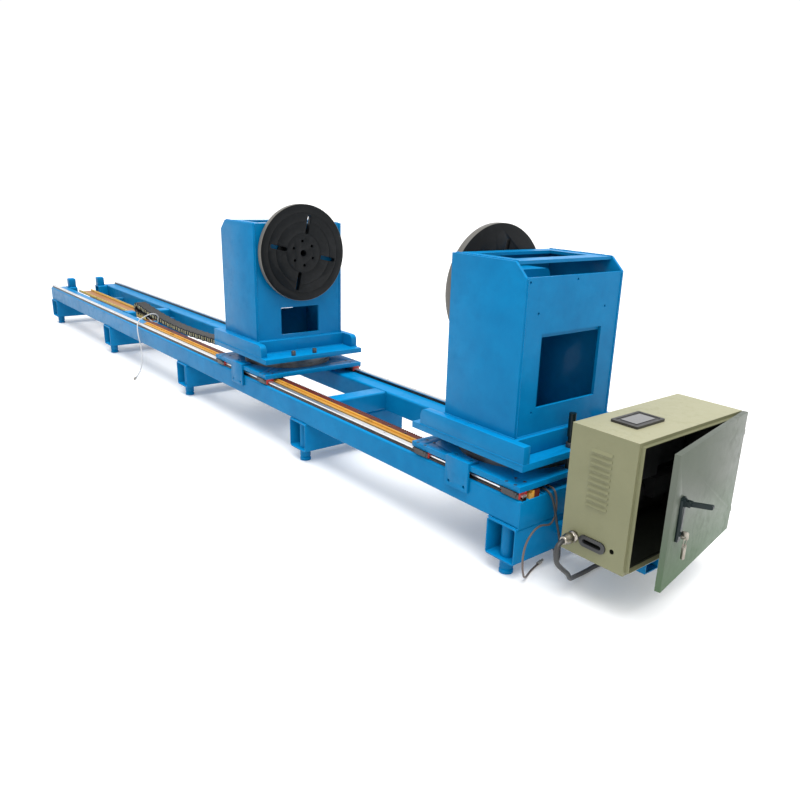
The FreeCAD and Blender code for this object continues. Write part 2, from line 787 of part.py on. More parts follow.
def cabinet_body():
    """Sheet box, open to the door, with louvre slots, a cable slot and a panel cut-out."""
    x0, x1 = cab_x
    y0, y1 = cab_y
    z0, z1 = cab_z
    t = cab_t
    body = box(x0, y0, z0, x1, y1, z1).cut(box(x0 + t, y0 + t, z0 + t, x1 + 1, y1 - t, z1 - t))
    body = body.cut(box(hmi_x[0] + 8, hmi_y[0] + 8, z1 - 5, hmi_x[1] - 8, hmi_y[1] - 8, z1 + 1))
    for i in range(louvre_count):
        z = louvre_top_z - i * louvre_pitch
        body = body.cut(box(louvre_x[0], y0 - 1, z - 5, louvre_x[1], y0 + t + 1, z))
    slot = rounded_bar(grommet_x[0] + 8, y0 - 1, grommet_z - 13, grommet_x[1] - 8, y0 + t + 1,
                       grommet_z + 13, 12.9, V(0, 1, 0))
    body = body.cut(slot).cut(rod(gland_x, y0 - 1, gland_z, 13.2, t + 2, V(0, 1, 0)))
    return body.cut(rod(356, y0 - 1, 255, 9, t + 2, V(0, 1, 0)))


def cabinet_rim():
    """Frame welded into the opening: a flange, a rim that reaches into the door and a lip at its back."""
    back = cab_x[1] - lip_depth
    flange = opening_ring(cab_x[1] - cab_t, cab_x[1], cab_t, rim_inset)
    rim = opening_ring(back, cab_x[1] + rim_depth, rim_inset, rim_inset + cab_t)
    lip = opening_ring(back, back + cab_t, rim_inset + cab_t, lip_reach)
    return flange.fuse(rim).fuse(lip).removeSplitter()


def opening_ring(x0, x1, outer, inner):
    """Rectangular ring round the cabinet's opening, between two insets from its walls."""
    y0, y1 = cab_y
    z0, z1 = cab_z
    block = box(x0, y0 + outer, z0 + outer, x1, y1 - outer, z1 - outer)
    return block.cut(box(x0 - 1, y0 + inner, z0 + inner, x1 + 1, y1 - inner, z1 - inner))


def cabinet_hoods():
    """Pressed hoods over the louvre slots."""
    hoods = []
    for i in range(louvre_count):
        z = louvre_top_z - i * louvre_pitch
        x0, x1 = louvre_x[0] - 1, louvre_x[1] + 1
        y = cab_y[0]
        points = [V(x0, y, z + 4), V(x0, y - 7, z - 6), V(x0, y - 5.5, z - 6.8), V(x0, y, z + 1.2)]
        hoods.append(prism(points, V(x1 - x0, 0, 0)))
    return hoods


def mounting_panel():
    """Panel on four spacers at the back of the cabinet."""
    x = cab_x[0] + cab_t
    y0, y1 = cab_y[0] + 35, cab_y[1] - 35
    z0, z1 = cab_z[0] + 35, cab_z[1] - 35
    panel = box(x + 18, y0, z0, x + 21, y1, z1)
    for y in (y0 + 20, y1 - 20):
        for z in (z0 + 20, z1 - 20):
            panel = panel.fuse(rod(x, y, z, 8, 18, V(1, 0, 0)))
    return panel.removeSplitter()


def cabinet_modules():
    """Drives, relays and terminals on the panel."""
    x = cab_x[0] + cab_t + 21
    y, z = cab_y[0], cab_z[0]
    sizes = [(60, 250, 130, 150, 120), (220, 250, 110, 150, 120), (360, 250, 220, 90, 70),
             (60, 120, 300, 60, 60), (400, 120, 160, 80, 75)]
    return [box(x, y + a, z + b, x + d, y + a + w, z + b + h) for a, b, w, h, d in sizes]


def operator_panel():
    """Touch panel let into the cabinet's top."""
    z = cab_z[1]
    bezel = rounded_bar(hmi_x[0], hmi_y[0], z, hmi_x[1], hmi_y[1], z + hmi_t, 6, V(0, 0, 1))
    back = box(hmi_x[0] + 8.3, hmi_y[0] + 8.3, z - 34, hmi_x[1] - 8.3, hmi_y[1] - 8.3, z)
    glass = box(hmi_x[0] + 12, hmi_y[0] + 12, z + hmi_t - 1.5, hmi_x[1] - 12, hmi_y[1] - 12, z + hmi_t + 1)
    return bezel.fuse(back).cut(glass).removeSplitter()


def cable_gland():
    """Brass gland with a hexagon and a domed nut, its bore towards the operator."""
    y = cab_y[0]
    out = V(0, -1, 0)
    points = []
    for i in range(6):
        a = math.radians(60 * i)
        points.append(V(gland_x + 22 * math.cos(a), y, gland_z + 22 * math.sin(a)))
    body = prism(points, V(0, -12, 0))
    body = body.fuse(rod(gland_x, y - 12, gland_z, 16, 24, out))
    body = body.fuse(rod(gland_x, y - 22, gland_z, 20, 14, out))
    body = body.fuse(Part.makeCone(20, 14, 26, V(gland_x, y - 36, gland_z), out))
    body = body.fuse(rod(gland_x, y + 12, gland_z, 13, 12, out))
    body = body.fuse(ring(gland_x, y + 8, gland_z, 19, 12, 5.5, out))
    return body.cut(rod(gland_x, y + 13, gland_z, lead_r, 80, out)).removeSplitter()


def grommet():
    """Oval rubber edge ring in the cable slot."""
    y = cab_y[0]
    x0, x1 = grommet_x
    h = grommet_h / 2
    rim = rounded_bar(x0, y - 6, grommet_z - h, x1, y, grommet_z + h, h - 0.1, V(0, 1, 0))
    lip = rounded_bar(x0 + 8, y, grommet_z - 13, x1 - 8, y + cab_t + 3, grommet_z + 13, 12.9, V(0, 1, 0))
    hole = rounded_bar(x0 + 16, y - 7, grommet_z - 8, x1 - 16, y + cab_t + 4, grommet_z + 8, 7.9, V(0, 1, 0))
    return rim.fuse(lip).cut(hole).removeSplitter()


def door_turn(shape):
    """Swing a shape that is drawn with the door shut to the open rest position."""
    turned = shape.copy()
    turned.rotate(V(cab_x[1] + hinge_r, cab_y[1] + hinge_r, 0), V(0, 0, 1), door_open)
    return turned


def cabinet_door():
    """Pan-shaped door with its two hinge knuckles, at the open rest position."""
    x0 = cab_x[1] + door_gap
    x1 = x0 + door_t
    y0, y1 = cab_y
    z0, z1 = cab_z
    pan = box(x0, y0, z0, x1, y1, z1).cut(box(x0 - 1, y0 + 3, z0 + 3, x1 - 3, y1 - 3, z1 - 3))
    pan = pan.cut(rod(x1 - 4, y0 + lock_from_edge, lock_z, 9.0, 6, V(1, 0, 0)))
    for z in hinge_heights():
        pan = pan.cut(rod(cab_x[1] + hinge_r, y1 + hinge_r, z - 1, hinge_r + 0.5, 62))
        leaf = box(cab_x[1] + hinge_r, y1 - 0.2, z + 20, x1, y1 + hinge_r, z + 40)
        knuckle = rod(cab_x[1] + hinge_r, y1 + hinge_r, z + 20, hinge_r, 20)
        bore = rod(cab_x[1] + hinge_r, y1 + hinge_r, z + 19, 3 + play, 22)
        pan = pan.fuse(leaf.fuse(knuckle).cut(bore))
    return door_turn(pan.removeSplitter())


def hinge_heights():
    """Lower end of the two door hinges."""
    return [cab_z[0] + 50, cab_z[1] - 110]


def door_hinges():
    """Fixed knuckles and pins on the cabinet's side."""
    hinges = []
    x, y = cab_x[1] + hinge_r, cab_y[1] + hinge_r
    for z in hinge_heights():
        pin = rod(x, y, z, 3, 60)
        body = pin
        for z0 in (z, z + 40.5):
            leaf = box(x - 36, cab_y[1], z0, x, cab_y[1] + 4, z0 + 19.5)
            body = body.fuse(leaf).fuse(rod(x, y, z0, hinge_r, 19.5))
        hinges.append(body.removeSplitter())
    return hinges


def lock_case():
    """Lock plate on the door with a bore for the handle's spindle and a key barrel at its foot."""
    x = cab_x[1] + door_gap + door_t
    y = cab_y[0] + lock_from_edge
    w, h = lock_w / 2, lock_len / 2
    middle = lock_z - lock_drop
    plate = rounded_bar(x, y - w, middle - h, x + 9, y + w, middle + h, 8, V(1, 0, 0))
    plate = plate.cut(rod(x - 1, y, lock_z, 8 + play, 12, V(1, 0, 0)))
    barrel = rod(x, y, lock_z - key_drop, 9, 14, V(1, 0, 0))
    return door_turn(plate.fuse(barrel).removeSplitter())


def lock_spindle():
    """Turning boss with the cam behind the door and a fork for the handle."""
    x = cab_x[1] + door_gap + door_t
    y = cab_y[0] + lock_from_edge
    body = rod(x - cam_reach, y, lock_z, 8, cam_reach + 10, V(1, 0, 0))
    body = body.fuse(box(x - cam_reach, y - 9, lock_z - cam_len, x - cam_reach + 5, y + 9, lock_z + 9))
    body = body.fuse(rod(x + 9.3, y, lock_z, 15, 6, V(1, 0, 0)))
    for s in (-1, 1):
        y0, y1 = sorted((y + s * 7.3, y + s * 13))
        body = body.fuse(box(x + 14, y0, lock_z - 8, x + 32, y1, lock_z + 8))
    body = body.cut(rod(x + 23, y - 14, lock_z, 3 + play, 28, V(0, 1, 0)))
    return door_turn(body.removeSplitter())


def lock_handle():
    """Lever on a cross pin, lifted away from the door."""
    x = cab_x[1] + door_gap + door_t + 23
    y = cab_y[0] + lock_from_edge
    arm = rounded_bar(x - 6.5, y - 7, lock_z - 7, x + lever_len, y + 7, lock_z + 7, 5, V(0, 1, 0))
    arm.rotate(V(x, y, lock_z), V(0, 1, 0), -lever_tilt)
    return door_turn(arm.fuse(rod(x, y - 13, lock_z, 3, 26, V(0, 1, 0))).removeSplitter())


def lock_keys():
    """Key in the barrel, a ring and a second key that hang from it."""
    x = cab_x[1] + door_gap + door_t + 14
    y = cab_y[0] + lock_from_edge
    z = lock_z - key_drop
    bow = rounded_bar(x, y - 2, z - 14, x + 24, y + 2, z + 14, 6, V(0, 1, 0)).cut(
        rod(x + 15, y - 3, z - 5, 3.2, 6, V(0, 1, 0)))
    hoop = Part.makeTorus(15, 1.2, V(x + 15, y, z - 21.9), V(1, 0, 0))
    second = rounded_bar(x + 8, y - 1.5, z - 84, x + 22, y + 1.5, z - 28, 5, V(0, 1, 0)).cut(
        rod(x + 15, y - 3, z - 38.8, 3.2, 6, V(0, 1, 0)))
    return [door_turn(bow), door_turn(hoop), door_turn(second)]


def cord_tube(name, points, r):
    """Round tube along straight runs joined by tangent arcs, with its radii and volume printed."""
    edges, total, radii = [], 0.0, []
    start = points[0]
    for i in range(1, len(points) - 1):
        before = points[i] - points[i - 1]
        after = points[i + 1] - points[i]
        half = before.getAngle(after) / 2
        bend = 0.45 * min(before.Length, after.Length) / math.tan(half)
        back = bend * math.tan(half)
        radii.append(round(bend / (2 * r), 1))
        d1, d2 = before.normalize(), after.normalize()
        a, b = points[i] - d1 * back, points[i] + d2 * back
        middle = points[i] + (d2 - d1).normalize() * (bend / math.cos(half) - bend)
        edges.append(Part.LineSegment(start, a).toShape())
        edges.append(Part.Arc(a, middle, b).toShape())
        total += (a - start).Length + bend * 2 * half
        start = b
    edges.append(Part.LineSegment(start, points[-1]).toShape())
    total += (points[-1] - start).Length
    ring_edge = Part.makeCircle(r, points[0], points[1] - points[0])
    tube = Part.Wire(edges).makePipeShell([Part.Wire([ring_edge])], True, False)
    share = tube.Volume / (math.pi * r * r * total)
    print(name, "length", round(total), "volume share", round(share, 3))
    print("radii in diameters", min(radii), radii)
    return tube


def power_route():
    """Route of the supply lead from the gland down to the floor and round to its coil."""
    x, y, z = gland_x, cab_y[0], lead_r + 0.1
    return [V(x, y - gland_bore_y, gland_z), V(x, y - 82, gland_z), V(x, y - 106, gland_z - 28),
            V(x - 1, y - 96, gland_z - 74), V(x - 8, y - 42, gland_z - 112), V(x - 30, y + 20, gland_z - 162),
            V(x - 56, y + 76, 38), V(x - 75, y + 136, z + 1), V(x - 71, y + 196, z),
            V(x - 78, y + 264, z + 1), V(x - 66, y + 344, z), V(x - 74, y + 424, z + 1),
            V(x - 60, y + 504, z), V(x - 64, y + 584, z + 1),
            V(x - 54, y + 660, z), V(x - 52, y + 736, z + 1)]


def lead_coil():
    """Outer shape of the coiled length on the floor behind the cabinet."""
    x, y = coil_centre
    return ring(x, y, 0, coil_r, coil_core_r, coil_h)


def lead_plug():
    """Round industrial plug that rests on the coil's turns."""
    x = coil_centre[0] - 60
    y = coil_centre[1] - (coil_r + coil_core_r) / 2
    z = coil_h + plug_r + 0.1
    body = rod(x + 24, y, z, plug_r - 1.5, 90, V(1, 0, 0))
    body = body.fuse(rod(x, y, z, lead_r + 5, 24, V(1, 0, 0)))
    body = body.fuse(rod(x + 114, y, z, plug_r, 30, V(1, 0, 0))).removeSplitter()
    return body.cut(rod(x - 1, y, z, lead_r, 13, V(1, 0, 0)))


def cable_clip():
    """Saddle with two bores on the end cross tube, which holds the cables."""
    clip = box(clip_x - clip_len, side_w + 1, bed_top, clip_x, side_w + 61, bed_top + 20)
    for y, r in ((side_w + 9, cable_r), (side_w + 47, hose_r)):
        clip = clip.cut(rod(clip_x - clip_len - 1, y, bed_top + 10, r + 0.05, clip_len + 2, V(1, 0, 0)))
    return clip


def end_cable_route():
    """Route of the black cable from the saddle over the end of the bed and down to the floor behind."""
    y, top = side_w + 9, bed_top
    return [V(clip_x + 0.8, y, top + 10), V(-14, y, top + 17), V(16, y + 1, top + 9), V(34, y + 4, top - 17),
            V(42, y + 10, top - 57), V(46, y + 22, top - 109), V(48, y + 41, 160), V(48, y + 53, 104),
            V(40, y + 65, 56), V(16, y + 93, 18), V(-26, y + 137, cable_r + 2), V(-80, y + 179, cable_r + 3),
            V(-132, y + 209, cable_r + 2)]


def brown_hose_route():
    """Route of the brown hose from the saddle over the end of the bed, in a loop and down to the floor."""
    y, top = side_w + 47, bed_top
    return [V(clip_x + 0.8, y, top + 10), V(-16, y, top + 16), V(10, y - 2, top + 9), V(24, y - 6, top - 15),
            V(30, y - 12, top - 49), V(32, y - 24, top - 85), V(32, y - 48, top - 108),
            V(33, y - 76, top - 112),
            V(35, y - 108, top - 115), V(37, y - 144, top - 129), V(39, y - 169, top - 161),
            V(40, y - 178, 118), V(38, y - 176, 74), V(32, y - 164, 36), V(20, y - 142, 13),
            V(2, y - 106, hose_r + 1), V(-18, y - 62, hose_r + 2), V(-30, y - 12, hose_r + 1)]


def grey_hose_route():
    """Route of the grey hose from the tray's end over the front tube and down to the floor."""
    top = bed_top + 44
    inner = chain_y - chain_w / 2 + 2 * link_side_t + 0.3 + hose_r + 0.3
    x = chain_pins()[-1][0]
    side = chain_y - chain_w / 2 - 5.2
    low = chain_floor_z
    return [V(x - 10, inner, low + 14), V(x + 50, inner - 1, low + 12), V(x + 105, inner - 14, low + 10),
            V(x + 165, side, low + 8), V(x + 230, side, low + 10), V(-4040, side, low + 18),
            V(-4014, side, low + 50), V(-4008, 240, low + 90), V(-4000, 216, top + 10),
            V(-3986, 178, top + 16), V(-3950, 130, top + 8),
            V(-3890, 76, top + 2), V(-3820, 26, top - 6), V(-3760, -8, top - 34), V(-3720, -20, bed_top - 46),
            V(-3696, -18, bed_top - 110), V(-3676, -20, 150), V(-3660, -30, 84), V(-3648, -50, 34),
            V(-3620, -84, hose_r + 3), V(-3570, -116, hose_r + 1)]


def end_fitting(route, r):
    """Push-in coupling on the end of a cord, lying on the floor."""
    start, end = route[-2:]
    way = V(end.x - start.x, end.y - start.y, 0)
    middle = V(end.x, end.y, r + 3.6)
    body = Part.makeCylinder(r + 3.5, 26, middle, way)
    return body.fuse(Part.makeCylinder(r + 1, 44, middle, way))


def build():
    """Write every sub-part."""
    save("side_tubes", side_tubes())
    save("cross_tubes", cross_tubes() + stop_posts())
    save("foot_beams", foot_beams())
    save("levelling_sleeves", levelling_sleeves())
    save("levelling_feet", levelling_feet())
    save("guide_rails", [guide_rail(rail_y), guide_rail(bed_width - rail_y)])
    save("gear_rack", [gear_rack()])
    save("locating_bar", [box(-rack_len, bar_y[0], bed_top, 0, bar_y[1], bed_top + bar_h)])
    save("chain_tray", [chain_tray()] + tray_ties())
    save("drag_chain", drag_chain())
    sides = (("head", head_x, 1, head_tray_bolts()), ("tail", tail_x, -1, [lock_bush()]))
    for side, cx, way, fittings in sides:
        save(side + "_carriage_plate", [carriage_plate(side, cx)])
        save(side + "_guide_blocks", [guide_block(x, y) for x, y in block_places(cx)])
        save(side + "_clamp_bracket", [clamp_bracket(cx)])
        save(side + "_travel_motor", [travel_motor(side)])
        save(side + "_pinion", [pinion(side)])
        save(side + "_slew_outer", [slew_outer(cx)])
        save(side + "_slew_inner", [slew_inner(cx)])
        save(side + "_tray_plate", [tray_plate(cx, way)])
        save(side + "_tray_bars", tray_bars(cx, way) + fittings)
        save(side + "_housing_sides", housing_sides(cx, way))
        save(side + "_housing_plates", housing_ends(cx, way) + [housing_top(cx, way), motor_shelf(cx, way)])
        save(side + "_bearing_housing", [bearing_housing(cx, way)])
        save(side + "_spindle_motor", [spindle_motor(cx, way)])
        save(side + "_faceplate", [faceplate(cx, way)])
        save(side + "_spindle", [spindle(cx, way)])
    save("head_chain_bracket", [chain_bracket()])
    save("tail_lock_post", [lock_post()])
    save("cabinet_arms", cabinet_arms())
    save("cabinet_body", [cabinet_body(), cabinet_rim()] + cabinet_hoods())
    save("cabinet_modules", [mounting_panel()] + cabinet_modules())
    save("operator_panel", [operator_panel()])
    save("cable_gland", [cable_gland(), grommet()])
    save("door_hinges", door_hinges())
    save("cabinet_door", [cabinet_door()])
    save("lock_case", [lock_case()] + lock_keys())
    save("lock_spindle", [lock_spindle()])
    save("lock_handle", [lock_handle()])
    save("supply_lead", [cord_tube("supply_lead", power_route(), lead_r)])
    save("lead_coil", [lead_coil()])
    save("lead_plug", [lead_plug()])
    save("cable_clip", [cable_clip()])
    save("black_cable", [cord_tube("black_cable", end_cable_route(), cable_r)])
    save("brown_hose", [cord_tube("brown_hose", brown_hose_route(), hose_r)])
    save("grey_hose", [cord_tube("grey_hose", grey_hose_route(), hose_r)])
    save("hose_fitting", [end_fitting(grey_hose_route(), hose_r), end_fitting(brown_hose_route(), hose_r),
                          end_fitting(end_cable_route(), cable_r)])


os.makedirs("parts", exist_ok=True)
build()
print("sub-parts", len([f for f in os.listdir("parts") if f.endswith(".step")]))
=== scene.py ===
import json
import logging
import math
from dataclasses import dataclass, field
from enum import Enum
from typing import Any, Callable, Iterable, Mapping, Sequence

import bmesh
import bpy
from mathutils import Matrix, Vector


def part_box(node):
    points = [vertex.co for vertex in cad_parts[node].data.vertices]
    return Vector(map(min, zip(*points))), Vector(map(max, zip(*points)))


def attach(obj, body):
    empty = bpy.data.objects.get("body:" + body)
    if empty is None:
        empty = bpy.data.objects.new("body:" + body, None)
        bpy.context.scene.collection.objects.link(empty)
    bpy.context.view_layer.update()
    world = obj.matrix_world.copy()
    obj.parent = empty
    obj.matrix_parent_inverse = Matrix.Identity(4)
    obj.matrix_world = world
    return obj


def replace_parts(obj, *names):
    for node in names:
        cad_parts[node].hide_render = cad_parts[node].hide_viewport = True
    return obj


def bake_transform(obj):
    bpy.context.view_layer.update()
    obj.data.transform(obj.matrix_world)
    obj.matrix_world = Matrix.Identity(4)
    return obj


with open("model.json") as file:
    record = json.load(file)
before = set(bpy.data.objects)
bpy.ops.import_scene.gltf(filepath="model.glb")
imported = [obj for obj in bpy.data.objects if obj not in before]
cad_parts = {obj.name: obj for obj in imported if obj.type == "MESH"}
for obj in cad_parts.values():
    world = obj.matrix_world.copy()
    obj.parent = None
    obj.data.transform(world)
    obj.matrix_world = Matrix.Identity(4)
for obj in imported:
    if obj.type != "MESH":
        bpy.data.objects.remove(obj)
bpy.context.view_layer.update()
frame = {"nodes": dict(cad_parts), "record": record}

log = logging.getLogger("positioner")

Colour = tuple[float, float, float]

# Places and sizes of the bed and its carriages, in millimetres from the bed's near corner.
# The row frame's origin is under the first levelling foot.
ORIGIN_X, ORIGIN_Y = -75.0, 38.0
BED_LENGTH, BED_WIDTH, BED_TOP = 6000.0, 612.0, 325.0
MIDDLE_Y = 306.0
TUBE_WIDTH = 134.0
FOOT_TOP = 215.0
FOOT_PLACES = tuple(ORIGIN_X - i * 1462.5 for i in range(5))
SPINDLE_Z = 1007.0
BEAM_HALF = 75.0
RAIL_YS = (24.0, 588.0)
# From a carriage's middle to its guide blocks, and from a block's middle to its bolts.
BLOCK_RUN, BOLT_RUN = 254.0, 22.5
# Middle of each carriage along the bed, and the way its table faces.
CARRIAGES = {"head": (-2167.0, 1.0), "tail": (-306.5, -1.0)}

# Turns between faces: next to none, an edge to ease, and, in degrees, an edge to shade sharp on large
# and on small pieces.
FLAT_TURN, EDGE_TURN = math.radians(0.5), math.radians(40.0)
SMOOTH_TURN, SMALL_TURN = 38.0, 35.0
# Gap in metres below which points are joined, and sides of a small round piece.
MERGE_GAP, ROUND_SIDES = 4e-6, 24

# Edges to ease: end of the CAD node's name and width of the eased edge in metres.
FACEPLATE_EASE, DOOR_EASE = 0.0012, 0.0015
CARRIAGE_EASES = {"carriage_plate": 0.002, "clamp_bracket": 0.0015}
TURNTABLE_EASES = {"tray_plate": 0.002, "tray_bars": 0.002, "housing_sides": 0.0015, "housing_plates": 0.0012}
BASE_EASES = {"side_tubes": 0.002, "foot_beams": 0.0015, "cross_tubes": 0.0015, "cabinet_body": 0.0008}


def at(x: float, y: float, z: float) -> Vector:
    """Turn bed measures in millimetres into a point of the row frame in metres."""
    return Vector(((x - ORIGIN_X) / 1000.0, (y - ORIGIN_Y) / 1000.0, z / 1000.0))


def pick(sockets: Any, key: int | str) -> Any:
    """Find a socket.

    Args:
        sockets: Inputs or outputs of a node.
        key: Index, identifier or name of the socket.

    Returns:
        The socket.
    """
    if isinstance(key, int):
        return sockets[key]
    for socket in sockets:
        if socket.identifier == key:
            return socket
    return sockets[key]


def add_node(tree: bpy.types.NodeTree, kind: str, settings: Mapping[str, Any],
             values: Mapping[int | str, Any]) -> bpy.types.Node:
    """Add a node to a tree.

    Args:
        tree: Tree that takes it.
        kind: Node type.
        settings: Properties, set before its sockets are filled.
        values: Numbers, colours, signals or other sockets for its inputs.

    Returns:
        The node.
    """
    node = tree.nodes.new(kind)
    for key, value in settings.items():
        setattr(node, key, value)
    for key, value in values.items():
        target = pick(node.inputs, key)
        source = value.socket if isinstance(value, Signal) else value
        if isinstance(source, bpy.types.NodeSocket):
            tree.links.new(source, target)
        else:
            target.default_value = source
    return node


def placed(name: str, data: Any) -> bpy.types.Object:
    """Put an object into the scene.

    Args:
        name: Name of the object.
        data: Its mesh, curve, light or camera.

    Returns:
        The object.
    """
    thing = bpy.data.objects.new(name, data)
    bpy.context.scene.collection.objects.link(thing)
    return thing


def evaluated(thing: bpy.types.Object) -> bpy.types.Mesh:
    """Work out an object's modifiers and remove the object.

    Args:
        thing: The object.

    Returns:
        The mesh that its modifiers make.
    """
    made = bpy.data.meshes.new_from_object(thing.evaluated_get(bpy.context.evaluated_depsgraph_get()))
    bpy.data.objects.remove(thing)
    return made


def opened(mesh: bpy.types.Mesh, merge: bool = False) -> bmesh.types.BMesh:
    """Copy a mesh into a bmesh.

    Args:
        mesh: The mesh.
        merge: Whether points that coincide are joined.

    Returns:
        The bmesh.
    """
    work = bmesh.new()
    work.from_mesh(mesh)
    if merge:
        bmesh.ops.remove_doubles(work, verts=work.verts, dist=MERGE_GAP)
    return work


def islands(work: bmesh.types.BMesh) -> list[list[bmesh.types.BMVert]]:
    """Tell the solids of a bmesh apart by their edges.

    Args:
        work: The bmesh.

    Returns:
        The points of each solid.
    """
    left = set(work.verts)
    groups = []
    while left:
        group = [left.pop()]
        for vert in group:
            for edge in vert.link_edges:
                other = edge.other_vert(vert)
                if other in left:
                    left.remove(other)
                    group.append(other)
        groups.append(group)
    return groups


def settled(work: bmesh.types.BMesh, name: str) -> bpy.types.Mesh:
    """Turn a bmesh into a mesh and free it.

    Args:
        work: The bmesh.
        name: Name of the mesh.

    Returns:
        The mesh.
    """
    mesh = bpy.data.meshes.new(name)
    work.to_mesh(mesh)
    work.free()
    return mesh


def built(work: bmesh.types.BMesh, name: str) -> bpy.types.Mesh:
    """Turn a bmesh made from nothing into a mesh whose faces look outwards."""
    bmesh.ops.recalc_face_normals(work, faces=work.faces)
    return settled(work, name)


def smoothed(mesh: bpy.types.Mesh, degrees: float = SMOOTH_TURN) -> bpy.types.Mesh:
    """Shade a mesh smooth between its sharp edges.

    Args:
        mesh: The mesh.
        degrees: Turn from which an edge stays sharp.

    Returns:
        The same mesh.
    """
    mesh.shade_smooth()
    mesh.set_sharp_from_angle(angle=math.radians(degrees))
    return mesh


def drawn(name: str, verts: Iterable[Vector], edges: Sequence[tuple[int, int]] = (),
          faces: Sequence[Sequence[int]] = ()) -> bpy.types.Mesh:
    """Make a mesh from lists.

    Args:
        name: Name of the mesh.
        verts: Its points.
        edges: Pairs of point numbers.
        faces: Rings of point numbers.

    Returns:
        The mesh.
    """
    mesh = bpy.data.meshes.new(name)
    mesh.from_pydata([tuple(vert) for vert in verts], list(edges), [list(face) for face in faces])
    return mesh


def add_slab(work: bmesh.types.BMesh, low: Vector, high: Vector, ease: float = 0.0) -> None:
    """Add a block with eased edges.

    Args:
        work: Bmesh that takes it.
        low: Its lowest corner.
        high: Its highest corner.
        ease: Width of the eased edges in metres.
    """
    made = bmesh.ops.create_cube(work, size=1.0)
    size = high - low
    for vert in made["verts"]:
        vert.co = Vector((vert.co[axis] + 0.5) * size[axis] + low[axis] for axis in range(3))
    if ease > 0.0:
        edges = {edge for vert in made["verts"] for edge in vert.link_edges}
        bmesh.ops.bevel(work, geom=list(edges), offset=ease, segments=2, profile=0.6, affect="EDGES")


def add_loft(work: bmesh.types.BMesh, rings: Sequence[Sequence[tuple[float, float, float]]]) -> None:
    """Add a closed solid through rings of points.

    Args:
        work: Bmesh that takes it.
        rings: The rings in order, all of one length.
    """
    loops = [[work.verts.new(spot) for spot in ring] for ring in rings]
    for low, high in zip(loops, loops[1:]):
        for i, vert in enumerate(low):
            j = (i + 1) % len(low)
            work.faces.new((vert, low[j], high[j], high[i]))
    work.faces.new(list(reversed(loops[0])))
    work.faces.new(loops[-1])


def add_lathe(work: bmesh.types.BMesh, profile: Sequence[tuple[float, float]], steps: int) -> None:
    """Add a closed solid turned about Z.

    Args:
        work: Bmesh that takes it.
        profile: Radius and height of its points, which start and end on the axis.
        steps: Number of sides.
    """
    rings: list[list[bmesh.types.BMVert]] = []
    for radius, height in profile:
        turns = [math.tau * i / steps for i in range(steps if radius else 1)]
        rings.append([work.verts.new((radius * math.cos(a), radius * math.sin(a), height)) for a in turns])
    for below, above in zip(rings, rings[1:]):
        for i in range(steps):
            j = (i + 1) % steps
            if len(below) == 1:
                work.faces.new((below[0], above[i], above[j]))
            elif len(above) == 1:
                work.faces.new((below[i], above[0], below[j]))
            else:
                work.faces.new((below[i], above[i], above[j], below[j]))


class Signal:
    """An output socket that takes part in Python arithmetic."""

    def __init__(self, tree: bpy.types.NodeTree, socket: bpy.types.NodeSocket) -> None:
        """Keep the tree and the socket."""
        self.tree = tree
        self.socket = socket

    def math(self, operation: str, *others: "Signal | float") -> "Signal":
        """Add a Math node.

        Args:
            operation: Name of the Math operation.
            others: Second and third operand.

        Returns:
            The node's value.
        """
        values = dict(enumerate((self, *others)))
        node = add_node(self.tree, "ShaderNodeMath", {"operation": operation}, values)
        return Signal(self.tree, node.outputs[0])

    def __add__(self, other: "Signal | float") -> "Signal":
        """Sum."""
        return self.math("ADD", other)

    def __mul__(self, other: "Signal | float") -> "Signal":
        """Product."""
        return self.math("MULTIPLY", other)

    def __sub__(self, other: "Signal | float") -> "Signal":
        """Difference."""
        return self.math("SUBTRACT", other)

    def __rsub__(self, other: float) -> "Signal":
        """Reflected difference."""
        return self.math("MULTIPLY", -1.0).math("ADD", other)

    def __truediv__(self, other: "Signal | float") -> "Signal":
        """Quotient."""
        return self.math("DIVIDE", other)

    def between(self, low: float, high: float) -> "Signal":
        """Scale the span from low to high to 0 to 1 and clip it."""
        part = (self - low) / (high - low)
        return part.math("MAXIMUM", 0.0).math("MINIMUM", 1.0)


